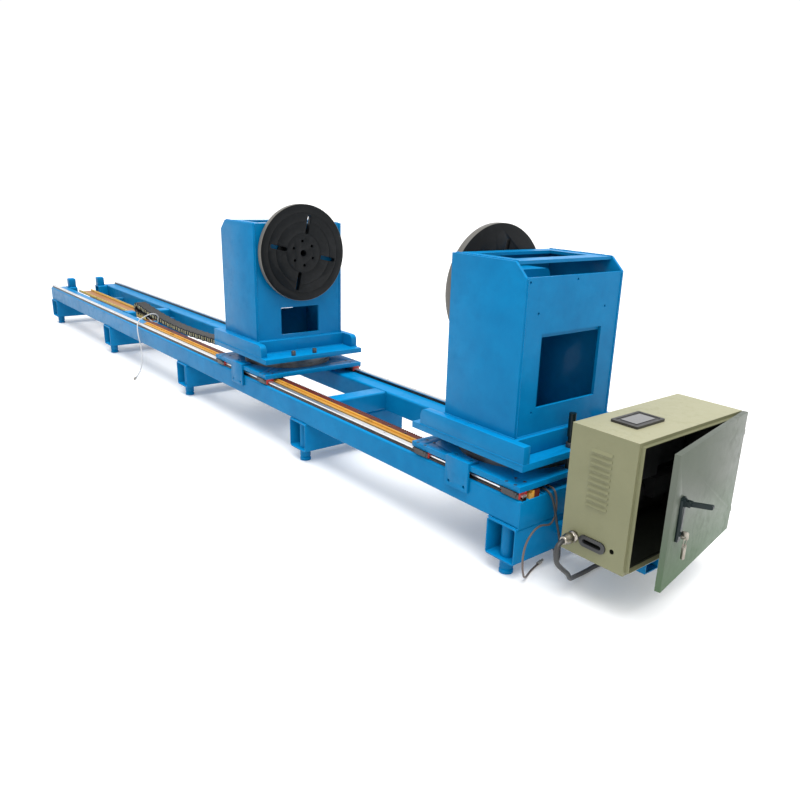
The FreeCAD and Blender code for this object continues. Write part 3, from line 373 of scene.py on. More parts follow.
class Palette:
    """A material that is being mixed."""

    def __init__(self, name: str) -> None:
        """Start an empty material with one shader.

        Args:
            name: Name of the material.
        """
        self.material = bpy.data.materials.new(name)
        self.material.use_nodes = True
        self.tree = self.material.node_tree
        self.tree.nodes.clear()
        self.shader = self.tree.nodes.new("ShaderNodeBsdfPrincipled")
        out = self.tree.nodes.new("ShaderNodeOutputMaterial")
        self.tree.links.new(self.shader.outputs[0], out.inputs[0])
        self.place = self.node("ShaderNodeTexCoord", {}, "Object")

    def node(self, kind: str, values: Mapping[int | str, Any], out: int | str = 0, **settings: Any) -> Signal:
        """Add any other node and take one of its outputs."""
        return Signal(self.tree, pick(add_node(self.tree, kind, settings, values).outputs, out))

    def part(self, vector: Signal, axis: int) -> Signal:
        """One coordinate of a vector."""
        return self.node("ShaderNodeSeparateXYZ", {0: vector}, axis)

    def noise(self, scale: float, detail: float = 3.0, stretch: tuple[float, float, float] = (1, 1, 1),
              shift: float = 0.0) -> Signal:
        """Noise with a value near 0.5.

        Args:
            scale: Cells per metre.
            detail: Finer layers.
            stretch: Factors along the axes.
            shift: Moves the pattern, so that two of them differ.

        Returns:
            The noise.
        """
        place = self.node("ShaderNodeMapping", {"Vector": self.place, "Scale": stretch,
                                                "Location": (shift,) * 3})
        return self.node("ShaderNodeTexNoise", {"Vector": place, "Scale": scale, "Detail": detail,
                                                "Roughness": 0.6}, "Fac")

    def mix(self, share: Signal, low: Signal | Colour, high: Signal | Colour) -> Signal:
        """Blend two colours.

        Args:
            share: Share of the second colour.
            low: First colour.
            high: Second colour.

        Returns:
            The blend.
        """
        values: dict[int | str, Any] = {"Factor_Float": share}
        for key, colour in (("A_Color", low), ("B_Color", high)):
            values[key] = colour if isinstance(colour, Signal) else (*colour, 1.0)
        return self.node("ShaderNodeMix", values, "Result_Color", data_type="RGBA")

    def feed(self, socket: str, value: Any) -> None:
        """Fill a socket of the shader.

        Args:
            socket: Name of the socket.
            value: A number, a colour or a signal.
        """
        target = self.shader.inputs[socket]
        if isinstance(value, Signal):
            self.tree.links.new(value.socket, target)
        else:
            target.default_value = (*value, 1.0) if isinstance(value, tuple) else value

    def relief(self, height: Signal, strength: float, depth: float) -> None:
        """Raise the surface by a height signal."""
        values = {"Height": height, "Strength": strength, "Distance": depth}
        self.feed("Normal", self.node("ShaderNodeBump", values, "Normal"))


class Grain(Enum):
    """What the close-up structure of a finish is."""

    BRUSHED_PAINT = "brushed paint"
    GROUND_ALONG_X = "ground along the bed"
    TURNED = "turned about the table axis"
    PEBBLE = "pebble powder coat"
    CAST = "cast or moulded"
    SHEATH = "cord sheath"


@dataclass(frozen=True)
class Band:
    """A second colour past a plane: on some surfaces a second paint or oil, on others painted shade or
    painted top light.
    """

    axis: int
    start: float
    full: float
    colour: Colour

    def over(self, pot: Palette, tone: Signal) -> Signal:
        """Lay the second colour over a tone.

        Args:
            pot: Material that is being mixed.
            tone: Colour below.

        Returns:
            Both colours together.
        """
        blotch = pot.noise(24.0, 4.0, shift=5.0) * 0.0016 - 0.0008
        share = (pot.part(pot.place, self.axis) + blotch).between(self.start, self.full)
        return pot.mix(share, tone, self.colour)


@dataclass(frozen=True)
class Zone:
    """A box inside or outside of which a surface has another colour."""

    low: tuple[float, float, float]
    high: tuple[float, float, float]
    colour: Colour
    inside: bool = True
    edge: float = 0.0002

    def over(self, pot: Palette, tone: Signal) -> Signal:
        """Lay the other colour over a tone.

        Args:
            pot: Material that is being mixed.
            tone: Colour below.

        Returns:
            Both colours together.
        """
        shares = []
        for axis, (low, high) in enumerate(zip(self.low, self.high)):
            part = pot.part(pot.place, axis)
            past = part.between(high - self.edge, high + self.edge)
            shares.append(part.between(low - self.edge, low + self.edge) * (1 - past))
        share = shares[0] * shares[1] * shares[2]
        return pot.mix(share if self.inside else 1 - share, tone, self.colour)


@dataclass(frozen=True)
class Finish:
    """A surface finish with its colours, gloss and structure, and, where set, a painted top light on upward
    faces and a rim with a painted highlight.
    """

    name: str
    base: Colour
    worn: Colour
    grain: Grain
    rough: float = 0.4
    metal: float = 0.0
    coat: float = 0.0
    dirt: Colour = (0.03, 0.03, 0.03)
    dirt_share: float = 0.3
    relief: float = 0.3
    depth: float = 0.0004
    cell: float = 320.0
    shine: float = 0.5
    bands: tuple[Band | Zone, ...] = ()
    # Colour of the turned table's rim within the rim radii: bare steel, lightened further as a painted
    # highlight.
    rim_steel_and_highlight: Colour | None = None
    # Painted top light: the colour towards which faces that look upwards are lightened, over the span of
    # facing below.
    painted_top_light: Colour | None = None
    rim_highlight_radii: tuple[float, float] = (0.2562, 0.2572)
    top_light_facing: tuple[float, float] = (0.35, 0.95)

    def make(self) -> bpy.types.Material:
        """Mix the material.

        Returns:
            The material.
        """
        pot = Palette(self.name)
        cloud = pot.noise(2.2, 4.0)
        patch = pot.noise(11.0, 5.0, shift=3.1)
        tone = pot.mix((cloud * 0.6 + patch * 0.4).between(0.35, 0.68), self.base, self.worn)
        grime = (pot.noise(6.5, 6.0, shift=9.0) * pot.noise(31.0, 3.0, shift=1.7)).between(0.27, 0.46)
        for band in self.bands:
            tone = band.over(pot, tone)
        # Painted top light: faces that look upwards are lightened.
        if self.painted_top_light:
            facing = pot.node("ShaderNodeTexCoord", {}, "Normal")
            tone = pot.mix(pot.part(facing, 2).between(*self.top_light_facing), tone, self.painted_top_light)
        tone = pot.mix(grime * self.dirt_share, tone, self.dirt)
        # Rim of the turned table: bare steel, lightened as a painted highlight.
        if self.rim_steel_and_highlight:
            tone = pot.mix(self.radius(pot).between(*self.rim_highlight_radii), tone, self.rim_steel_and_highlight)
        fine, gloss = self.structure(pot)
        pot.feed("Base Color", tone)
        pot.feed("Roughness", (gloss * 0.22 + grime * 0.15 + (self.rough - 0.11)).math("MAXIMUM", 0.04))
        pot.feed("Metallic", self.metal)
        pot.feed("Coat Weight", self.coat)
        pot.feed("Coat Roughness", 0.12)
        pot.feed("Specular IOR Level", self.shine)
        pot.relief(fine, self.relief, self.depth)
        return pot.material

    def radius(self, pot: Palette) -> Signal:
        """Distance from the tables' common axis.

        Args:
            pot: Material that is being mixed.

        Returns:
            The distance in metres.
        """
        axis = tuple(at(0.0, MIDDLE_Y, SPINDLE_Z))
        offset = pot.node("ShaderNodeVectorMath", {0: pot.place, 1: axis}, operation="SUBTRACT")
        flat = pot.node("ShaderNodeVectorMath", {0: offset, 1: (0.0, 1.0, 1.0)}, operation="MULTIPLY")
        return pot.node("ShaderNodeVectorMath", {0: flat}, "Value", operation="LENGTH")

    def structure(self, pot: Palette) -> tuple[Signal, Signal]:
        """Close-up structure.

        Args:
            pot: Material that is being mixed.

        Returns:
            A height signal and a gloss signal.
        """
        if self.grain is Grain.GROUND_ALONG_X:
            lines = pot.noise(self.cell, 2.0, (0.02, 1.0, 1.0))
            return lines, pot.noise(40.0, 4.0, (0.05, 1.0, 1.0))
        if self.grain is Grain.TURNED:
            radius = self.radius(pot)
            waver = pot.noise(3.0, 2.0) * 0.0008
            lines = ((radius + waver) * 3400.0).math("SINE")
            bands = ((radius * 140.0).math("SINE") * 0.5 + 0.5) * 0.5 + pot.noise(60.0, 3.0) * 0.5
            return lines, bands
        if self.grain is Grain.PEBBLE:
            values = {"Vector": pot.place, "Scale": self.cell, "Smoothness": 0.7}
            cells = pot.node("ShaderNodeTexVoronoi", values, "Distance", feature="SMOOTH_F1")
            return cells + pot.noise(self.cell * 2.2, 2.0) * 0.4, pot.noise(25.0, 4.0)
        if self.grain is Grain.SHEATH:
            return pot.noise(self.cell, 4.0), pot.noise(70.0, 4.0)
        if self.grain is Grain.BRUSHED_PAINT:
            peel = pot.noise(self.cell, 2.0) * 0.5 + pot.noise(28.0, 3.0) * 0.5
            return peel, pot.noise(17.0, 4.0)
        return pot.noise(self.cell, 5.0), pot.noise(45.0, 4.0)


FINISHES: dict[str, Finish] = {
    # Blue enamel; its lighter colour on upward faces is painted top light.
    "blue_paint": Finish("blue_enamel", (0.0, 0.124, 0.292), (0.001, 0.170, 0.380), Grain.BRUSHED_PAINT,
                         rough=0.38, coat=0.08, dirt=(0.001, 0.090, 0.205), dirt_share=0.22, relief=0.25,
                         cell=190.0, shine=0.06, painted_top_light=(0.001, 0.235, 0.54)),
    # Ground rail steel; below its band the rail is painted dark, as painted shade of its groove and lower
    # flank.
    "rail_steel": Finish("ground_rail", (0.78, 0.78, 0.79), (0.68, 0.69, 0.71), Grain.GROUND_ALONG_X,
                         rough=0.30, metal=0.85, dirt=(0.30, 0.26, 0.22), relief=0.05,
                         depth=0.0001, bands=(Band(2, 0.3392, 0.3384, (0.045, 0.038, 0.034)),)),
    "rack_steel": Finish("oiled_rack", (0.085, 0.014, 0.008), (0.125, 0.022, 0.012), Grain.GROUND_ALONG_X,
                         rough=0.50, shine=0.12, dirt=(0.03, 0.010, 0.006), dirt_share=0.5, relief=0.2,
                         bands=(Band(1, 0.0390, 0.0378, (0.60, 0.30, 0.045)),)),
    "gold_steel": Finish("passivated_bar", (0.62, 0.33, 0.055), (0.72, 0.42, 0.10), Grain.GROUND_ALONG_X,
                         metal=0.30, dirt=(0.30, 0.14, 0.03), dirt_share=0.4, relief=0.15),
    # Yellow channel; its brown band low down is painted shade in the channel, with some dust.
    "yellow_paint": Finish("yellow_sheet", (0.86, 0.62, 0.13), (0.78, 0.55, 0.12), Grain.BRUSHED_PAINT,
                           rough=0.42, dirt=(0.35, 0.20, 0.04),
                           bands=(Band(2, 0.2775, 0.2755, (0.34, 0.14, 0.035)),
                                  Zone((-7.0, 0.1975, 0.0), (1.0, 0.3105, 1.0), (0.001, 0.15, 0.34),
                                       inside=False))),
    "chain_plastic": Finish("filled_nylon", (0.007, 0.0075, 0.008), (0.016, 0.0165, 0.017), Grain.CAST,
                            rough=0.5, dirt=(0.11, 0.10, 0.08), dirt_share=0.35),
    "block_black": Finish("blackened_block", (0.035, 0.036, 0.040), (0.07, 0.07, 0.075), Grain.CAST,
                          rough=0.36, metal=0.6, dirt=(0.12, 0.08, 0.04)),
    "zinc": Finish("zinc_plate", (0.52, 0.53, 0.55), (0.62, 0.62, 0.63), Grain.CAST, rough=0.32, metal=1.0,
                   dirt=(0.18, 0.15, 0.11), relief=0.15),
    "motor_black": Finish("black_lacquer", (0.028, 0.029, 0.032), (0.05, 0.05, 0.055), Grain.CAST,
                          rough=0.38, coat=0.2, relief=0.4, cell=140.0),
    # Slewing ring steel, kept dark partly as painted shade under the tray.
    "ring_steel": Finish("machined_ring", (0.13, 0.125, 0.12), (0.20, 0.195, 0.19), Grain.GROUND_ALONG_X,
                         rough=0.38, metal=0.9, dirt=(0.04, 0.03, 0.02), dirt_share=0.6, relief=0.12),
    # Blackened tables; their lighter rim is bare steel with a painted highlight.
    "black_oxide": Finish("blackened_table", (0.0020, 0.0028, 0.0034), (0.0055, 0.0068, 0.0080), Grain.TURNED,
                          rough=0.36, coat=0.04, dirt=(0.020, 0.021, 0.023),
                          relief=0.18, depth=0.0002, shine=0.14, rim_steel_and_highlight=(0.12, 0.115, 0.105)),
    "cabinet_beige": Finish("pebble_coat", (0.165, 0.168, 0.093), (0.190, 0.191, 0.108), Grain.PEBBLE,
                            rough=0.48, dirt=(0.14, 0.14, 0.085), dirt_share=0.15, relief=0.35, cell=420.0,
                            shine=0.3,
                            # Painted top light: above this band the cabinet's top is lighter.
                            bands=(Band(2, 0.6546, 0.6558, (0.36, 0.35, 0.225)),
                                   # Painted shade: inside this box the cabinet's interior is dark.
                                   Zone((0.218, 0.039, 0.186), (0.480, 0.680, 0.655),
                                        (0.014, 0.016, 0.012)))),
    # Door coat; it turns darker and greener towards its bottom.
    "door_coat": Finish("door_coat", (0.088, 0.103, 0.083), (0.104, 0.119, 0.095), Grain.PEBBLE,
                        dirt=(0.10, 0.12, 0.09), dirt_share=0.15, cell=420.0,
                        shine=0.28, bands=(Band(2, 0.46, 0.18, (0.055, 0.105, 0.050)),)),
    "chain_tab": Finish("cream_tab", (0.66, 0.57, 0.28), (0.74, 0.66, 0.38), Grain.CAST, rough=0.5,
                        dirt=(0.25, 0.20, 0.10), dirt_share=0.4),
    "seal_red": Finish("end_seal", (0.42, 0.022, 0.016), (0.52, 0.04, 0.03), Grain.CAST, rough=0.5,
                       dirt=(0.10, 0.02, 0.015), dirt_share=0.5),
    "module_grey": Finish("switchgear", (0.018, 0.019, 0.020), (0.035, 0.036, 0.037), Grain.CAST, rough=0.5,
                          shine=0.3),
    "panel_black": Finish("panel_bezel", (0.016, 0.015, 0.014), (0.028, 0.026, 0.025), Grain.CAST,
                          rough=0.36, relief=0.2),
    "nickel": Finish("nickel_plate", (0.34, 0.31, 0.27), (0.44, 0.41, 0.36), Grain.CAST, rough=0.32,
                     metal=1.0, dirt=(0.16, 0.13, 0.10), dirt_share=0.4, relief=0.12),
    "lock_black": Finish("black_die_cast", (0.003, 0.010, 0.011), (0.009, 0.018, 0.019), Grain.CAST,
                         rough=0.36, shine=0.25, cell=260.0),
    "rubber_black": Finish("black_sheath", (0.016, 0.017, 0.018), (0.035, 0.036, 0.038), Grain.SHEATH,
                           rough=0.42, dirt=(0.12, 0.11, 0.10)),
    "hose_brown": Finish("brown_sheath", (0.075, 0.052, 0.045), (0.12, 0.09, 0.075), Grain.SHEATH,
                         dirt=(0.20, 0.17, 0.14)),
    "hose_grey": Finish("grey_sheath", (0.42, 0.43, 0.44), (0.55, 0.56, 0.57), Grain.SHEATH,
                        rough=0.38, dirt=(0.22, 0.21, 0.20)),
}


class Shop:
    """Keeps the mixed materials and turns meshes into pieces."""

    def __init__(self) -> None:
        """Mix every finish once."""
        self.paint = {slot: finish.make() for slot, finish in FINISHES.items()}
        self.look = {"head_block_seals": "seal_red", "tail_block_seals": "seal_red",
                     "cabinet_door_eased": "door_coat"}
        self.slot_of = {row["node"]: row["material_slot"] for row in frame["record"]["subparts"]}
        self.blue_nodes = ("levelling_sleeves", "levelling_feet", "head_spindle_motor", "tail_spindle_motor")

    def dress_frame(self) -> None:
        """Give every CAD node its finish."""
        for name, node in frame["nodes"].items():
            slot = "blue_paint" if name in self.blue_nodes else self.slot_of[name]
            node.data.materials.clear()
            node.data.materials.append(self.paint[slot])

    def piece(self, name: str, mesh: bpy.types.Mesh, body: str, slot: str) -> bpy.types.Object:
        """Make a mesh a piece that rides on a body.

        Args:
            name: Name of the piece.
            mesh: Its mesh, in the row frame.
            body: Body that it rides on.
            slot: Material slot that it takes its finish from.

        Returns:
            The object.
        """
        if not mesh.materials:
            mesh.materials.append(self.paint[self.look.get(name, slot)])
        thing = placed(name, mesh)
        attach(thing, body)
        log.info("%s: %d faces on %s", name, len(mesh.polygons), body)
        return thing

    def darken_bolts(self, mesh: bpy.types.Mesh, reach: float = 0.05) -> None:
        """Give the bolts of a mesh, told by their size, the black finish.

        Args:
            mesh: The mesh.
            reach: Size in metres below which a solid is a bolt.
        """
        mesh.materials.append(self.paint["motor_black"])
        work = opened(mesh)
        for group in islands(work):
            if max((vert.co - group[0].co).length for vert in group) < reach:
                for face in {face for vert in group for face in vert.link_faces}:
                    face.material_index = 1
        work.to_mesh(mesh)
        work.free()

    def eased(self, node: str, body: str, width: float) -> None:
        """Stand in for a CAD node with the same solid whose edges are eased, if its mesh stays closed.

        Args:
            node: CAD node.
            body: Body that it rides on.
            width: Width of the eased edge in metres.
        """
        work = opened(frame["nodes"][node].data, merge=True)
        bmesh.ops.dissolve_limit(work, angle_limit=FLAT_TURN, verts=work.verts, edges=work.edges,
                                 delimit={"NORMAL"})
        probe = placed("probe", settled(work, node))
        bevel = probe.modifiers.new("ease", "BEVEL")
        bevel.width = width
        bevel.segments = 2
        bevel.limit_method = "ANGLE"
        bevel.angle_limit = EDGE_TURN
        bevel.use_clamp_overlap = True
        made = evaluated(probe)
        work = opened(made)
        closed = all(edge.is_manifold for edge in work.edges)
        work.free()
        if not closed:
            log.info("%s keeps its plain edges", node)
            bpy.data.meshes.remove(made)
            return
        made.name = node + "_eased"
        made.materials.clear()
        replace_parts(self.piece(node + "_eased", smoothed(made), body, self.slot_of[node]), node)
        if node.endswith("_tray_bars"):
            self.darken_bolts(made)

    def parted(self, node: str, body: str, first: str, second: str,
               is_second: Callable[[Vector], bool]) -> None:
        """Stand in for a CAD node whose solids have two finishes.

        Args:
            node: CAD node.
            body: Body that it rides on.
            first: Slot of most of its solids.
            second: Slot of the others.
            is_second: Says from the middle of a solid whether it is one of the others.
        """
        for slot, wanted in ((first, False), (second, True)):
            work = opened(frame["nodes"][node].data, merge=True)
            dropped: list[bmesh.types.BMVert] = []
            for group in islands(work):
                middle = sum((vert.co for vert in group), Vector()) / len(group)
                if is_second(middle) != wanted:
                    dropped += group
            bmesh.ops.delete(work, geom=dropped, context="VERTS")
            name = f"{node}_{slot}"
            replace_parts(self.piece(name, smoothed(settled(work, name)), body, slot), node)


class Recipe:
    """A Geometry Nodes tree with named inputs, used once per piece."""

    def __init__(self, name: str) -> None:
        """Start a tree with a geometry input and output and a finish.

        Args:
            name: Name of the tree.
        """
        self.tree = bpy.data.node_groups.new(name, "GeometryNodeTree")
        self.tree.interface.new_socket("Geometry", in_out="INPUT", socket_type="NodeSocketGeometry")
        self.tree.interface.new_socket("Geometry", in_out="OUTPUT", socket_type="NodeSocketGeometry")
        self.source = self.tree.nodes.new("NodeGroupInput")
        self.sink = self.tree.nodes.new("NodeGroupOutput")
        self.finish = self.size("Finish", "Material")

    def size(self, name: str, kind: str, value: Any = None) -> Any:
        """Add a named input.

        Args:
            name: Name of the input.
            kind: Socket type without its prefix.
            value: Default.

        Returns:
            The socket to link from.
        """
        socket = self.tree.interface.new_socket(name, in_out="INPUT", socket_type="NodeSocket" + kind)
        if value is not None:
            socket.default_value = value
        return self.source.outputs[name]

    def node(self, kind: str, values: Mapping[int | str, Any], out: int | str = 0,
             **settings: Any) -> bpy.types.NodeSocket:
        """Add a node and take one of its outputs."""
        return pick(add_node(self.tree, kind, settings, values).outputs, out)

    def close(self, points: bpy.types.NodeSocket, part: bpy.types.NodeSocket, turn: bpy.types.NodeSocket,
              scale: bpy.types.NodeSocket | None = None) -> None:
        """Set a part on every point and end the tree in real geometry with its material.

        Args:
            points: Where the parts stand.
            part: Geometry of one part.
            turn: Rotation of each.
            scale: Size of each, where they differ.
        """
        values = {"Points": points, "Instance": part, "Rotation": turn}
        if scale is not None:
            values["Scale"] = scale
        real = self.node("GeometryNodeRealizeInstances",
                         {"Geometry": self.node("GeometryNodeInstanceOnPoints", values)})
        coated = self.node("GeometryNodeSetMaterial", {"Geometry": real, "Material": self.finish})
        self.tree.links.new(coated, self.sink.inputs[0])

    def run(self, mesh: bpy.types.Mesh, values: Mapping[str, Any]) -> bpy.types.Mesh:
        """Run the tree on a mesh.

        Args:
            mesh: Points or lines that the tree works on.
            values: Named inputs.

        Returns:
            The plain result.
        """
        host = placed("host", mesh)
        change = host.modifiers.new("recipe", "NODES")
        change.node_group = self.tree
        for item in self.tree.interface.items_tree:
            if item.in_out == "INPUT" and item.name in values:
                change[item.identifier] = values[item.name]
        return evaluated(host)


def weld_recipe() -> Recipe:
    """Plan overlapping scales of weld metal along lines.

    Returns:
        The tree, whose inputs are Pitch and Radius.
    """
    recipe = Recipe("weld_bead")
    pitch = recipe.size("Pitch", "Float", 0.006)
    radius = recipe.size("Radius", "Float", 0.004)
    line = recipe.node("GeometryNodeMeshToCurve", {"Mesh": recipe.source.outputs[0]})
    steps = recipe.node("GeometryNodeResampleCurve", {"Curve": line, "Length": pitch}, mode="LENGTH")
    scale = recipe.node("GeometryNodeMeshIcoSphere", {"Radius": radius, "Subdivisions": 1})
    tangent = recipe.node("GeometryNodeInputTangent", {})
    turn = recipe.node("FunctionNodeAlignRotationToVector", {"Vector": tangent}, axis="Z")
    chance = recipe.node("FunctionNodeRandomValue", {0: (0.85, 0.85, 0.9), 1: (1.15, 1.15, 1.2), "Seed": 7},
                         data_type="FLOAT_VECTOR")
    recipe.close(steps, scale, turn, chance)
    return recipe


def part_recipe() -> Recipe:
    """Plan one part on every point, turned by the point's lean and twisted about its own axis at random.

    Returns:
        The tree, whose inputs are Part and Twist.
    """
    recipe = Recipe("set_parts")
    part = recipe.size("Part", "Object")
    twist = recipe.size("Twist", "Float", 0.0)
    lean = recipe.node("GeometryNodeInputNamedAttribute", {"Name": "lean"}, data_type="FLOAT_VECTOR")
    base = recipe.node("FunctionNodeEulerToRotation", {0: lean})
    chance = recipe.node("FunctionNodeRandomValue", {"Min_001": 0.0, "Max_001": twist, "Seed": 3}, 1,
                         data_type="FLOAT")
    spin = recipe.node("ShaderNodeCombineXYZ", {"Z": chance})
    own = recipe.node("FunctionNodeEulerToRotation", {0: spin})
    both = recipe.node("FunctionNodeRotateRotation", {0: base, 1: own}, rotation_space="LOCAL")
    info = recipe.node("GeometryNodeObjectInfo", {"Object": part}, "Geometry")
    recipe.close(recipe.source.outputs[0], info, both)
    return recipe


@dataclass
class Pattern:
    """One part that is set on many points."""

    recipe: Recipe
    part: bpy.types.Mesh
    twist: float = 0.0

    def laid(self, name: str, spots: Sequence[Vector], leans: Sequence[float],
             finish: bpy.types.Material) -> bpy.types.Mesh:
        """Set the part on points.

        Args:
            name: Name of the mesh.
            spots: The points.
            leans: Turn about Y in radians at each point.
            finish: Material of the parts.

        Returns:
            The mesh of all parts.
        """
        points = drawn(name, spots)
        lean = points.attributes.new("lean", "FLOAT_VECTOR", "POINT")
        for item, turn in zip(lean.data, leans):
            item.vector = (0.0, turn, 0.0)
        part = placed("pattern", self.part)
        made = self.recipe.run(points, {"Part": part, "Twist": self.twist, "Finish": finish})
        bpy.data.objects.remove(part)
        return made


@dataclass
class StudioView:
    """Camera, lights and floor."""

    eye: tuple[float, float, float] = (1.68755, -1.88091, 1.40745)
    yaw: float = 48.408
    pitch: float = -18.646
    roll: float = 2.4246
    lens: float = 33.10
    shift: tuple[float, float] = (-0.0465, 0.0374)
    band_top: float = 0.25
    zenith_start: float = 0.8
    band_light: float = 1.04
    zenith_light: float = 0.8
    sun_power: float = 2.3
    sun_spread: float = 40.0

    def lamp(self, name: str, kind: str, spot: tuple[float, float, float], target: tuple[float, float, float],
             power: float, size: float = 0.0) -> None:
        """Hang a soft lamp.

        Args:
            name: Name of the lamp.
            kind: AREA or SUN.
            spot: Where it hangs.
            target: Where it points.
            power: Its power.
            size: Side of an area lamp.
        """
        data = bpy.data.lights.new(name, kind)
        data.energy = power
        if kind == "AREA":
            data.size = size
        else:
            data.angle = math.radians(self.sun_spread)
        thing = placed(name, data)
        thing.location = spot
        thing.rotation_euler = (Vector(target) - Vector(spot)).to_track_quat("-Z", "Y").to_euler()

    def camera(self) -> None:
        """Set the camera where the photograph was taken."""
        yaw, pitch, roll = (math.radians(a) for a in (self.yaw, self.pitch, self.roll))
        look = Vector((-math.sin(yaw) * math.cos(pitch), math.cos(yaw) * math.cos(pitch), math.sin(pitch)))
        right = Vector((math.cos(yaw), math.sin(yaw), 0.0))
        up = right.cross(look)
        across = right * math.cos(roll) + up * math.sin(roll)
        above = up * math.cos(roll) - right * math.sin(roll)
        data = bpy.data.cameras.new("view")
        data.lens = self.lens
        data.sensor_width = 36.0
        data.shift_x, data.shift_y = self.shift
        data.clip_end = 60.0
        camera = placed("view", data)
        turn = Matrix((across, above, -look)).transposed().to_4x4()
        camera.matrix_world = Matrix.Translation(Vector(self.eye)) @ turn
        bpy.context.scene.camera = camera

    def light(self) -> None:
        """Hang soft lights and a pale sky."""
        world = bpy.data.worlds.new("studio")
        world.use_nodes = True
        nodes, links = world.node_tree.nodes, world.node_tree.links
        place = nodes.new("ShaderNodeTexCoord")
        parts = nodes.new("ShaderNodeSeparateXYZ")
        fall = nodes.new("ShaderNodeMapRange")
        fall.interpolation_type = "SMOOTHSTEP"
        spans = (self.band_top, self.zenith_start, self.band_light, self.zenith_light)
        for slot, value in enumerate(spans, 1):
            fall.inputs[slot].default_value = value
        links.new(place.outputs["Generated"], parts.inputs[0])
        links.new(parts.outputs[2], fall.inputs[0])
        sky = nodes["Background"]
        sky.inputs[0].default_value = (1.0, 1.0, 1.0, 1.0)
        links.new(fall.outputs[0], sky.inputs[1])
        bpy.context.scene.world = world
        self.lamp("sun", "SUN", spot=(2.5, -1.3, 6.4), target=(0.0, 0.0, 0.0), power=self.sun_power)
        self.lamp("overhead", "AREA", spot=(-2.2, -0.6, 4.6), target=(-2.2, 0.2, 0.4), power=45.0, size=3.0)
        self.lamp("front", "AREA", spot=(4.0, -1.8, 2.8), target=(-0.6, 0.2, 0.6), power=20.0, size=1.2)
        bpy.context.scene.view_settings.view_transform = "Standard"

    def floor(self) -> None:
        """Lay the pale floor."""
        half, drop = 40.0, -0.0005
        corners = ((-half, -half), (half, -half), (half, half), (-half, half))
        mesh = drawn("floor", [Vector((x, y, drop)) for x, y in corners], faces=[(0, 1, 2, 3)])
        pot = Palette("pale_floor")
        tone = pot.mix(pot.noise(0.8, 3.0).between(0.3, 0.7), (0.88, 0.88, 0.88), (0.92, 0.92, 0.92))
        pot.feed("Base Color", tone)
        pot.feed("Roughness", 0.7)
        pot.feed("Emission Color", (1.0, 1.0, 1.0))
        pot.feed("Emission Strength", 0.12)
        mesh.materials.append(pot.material)
        placed("floor", mesh)


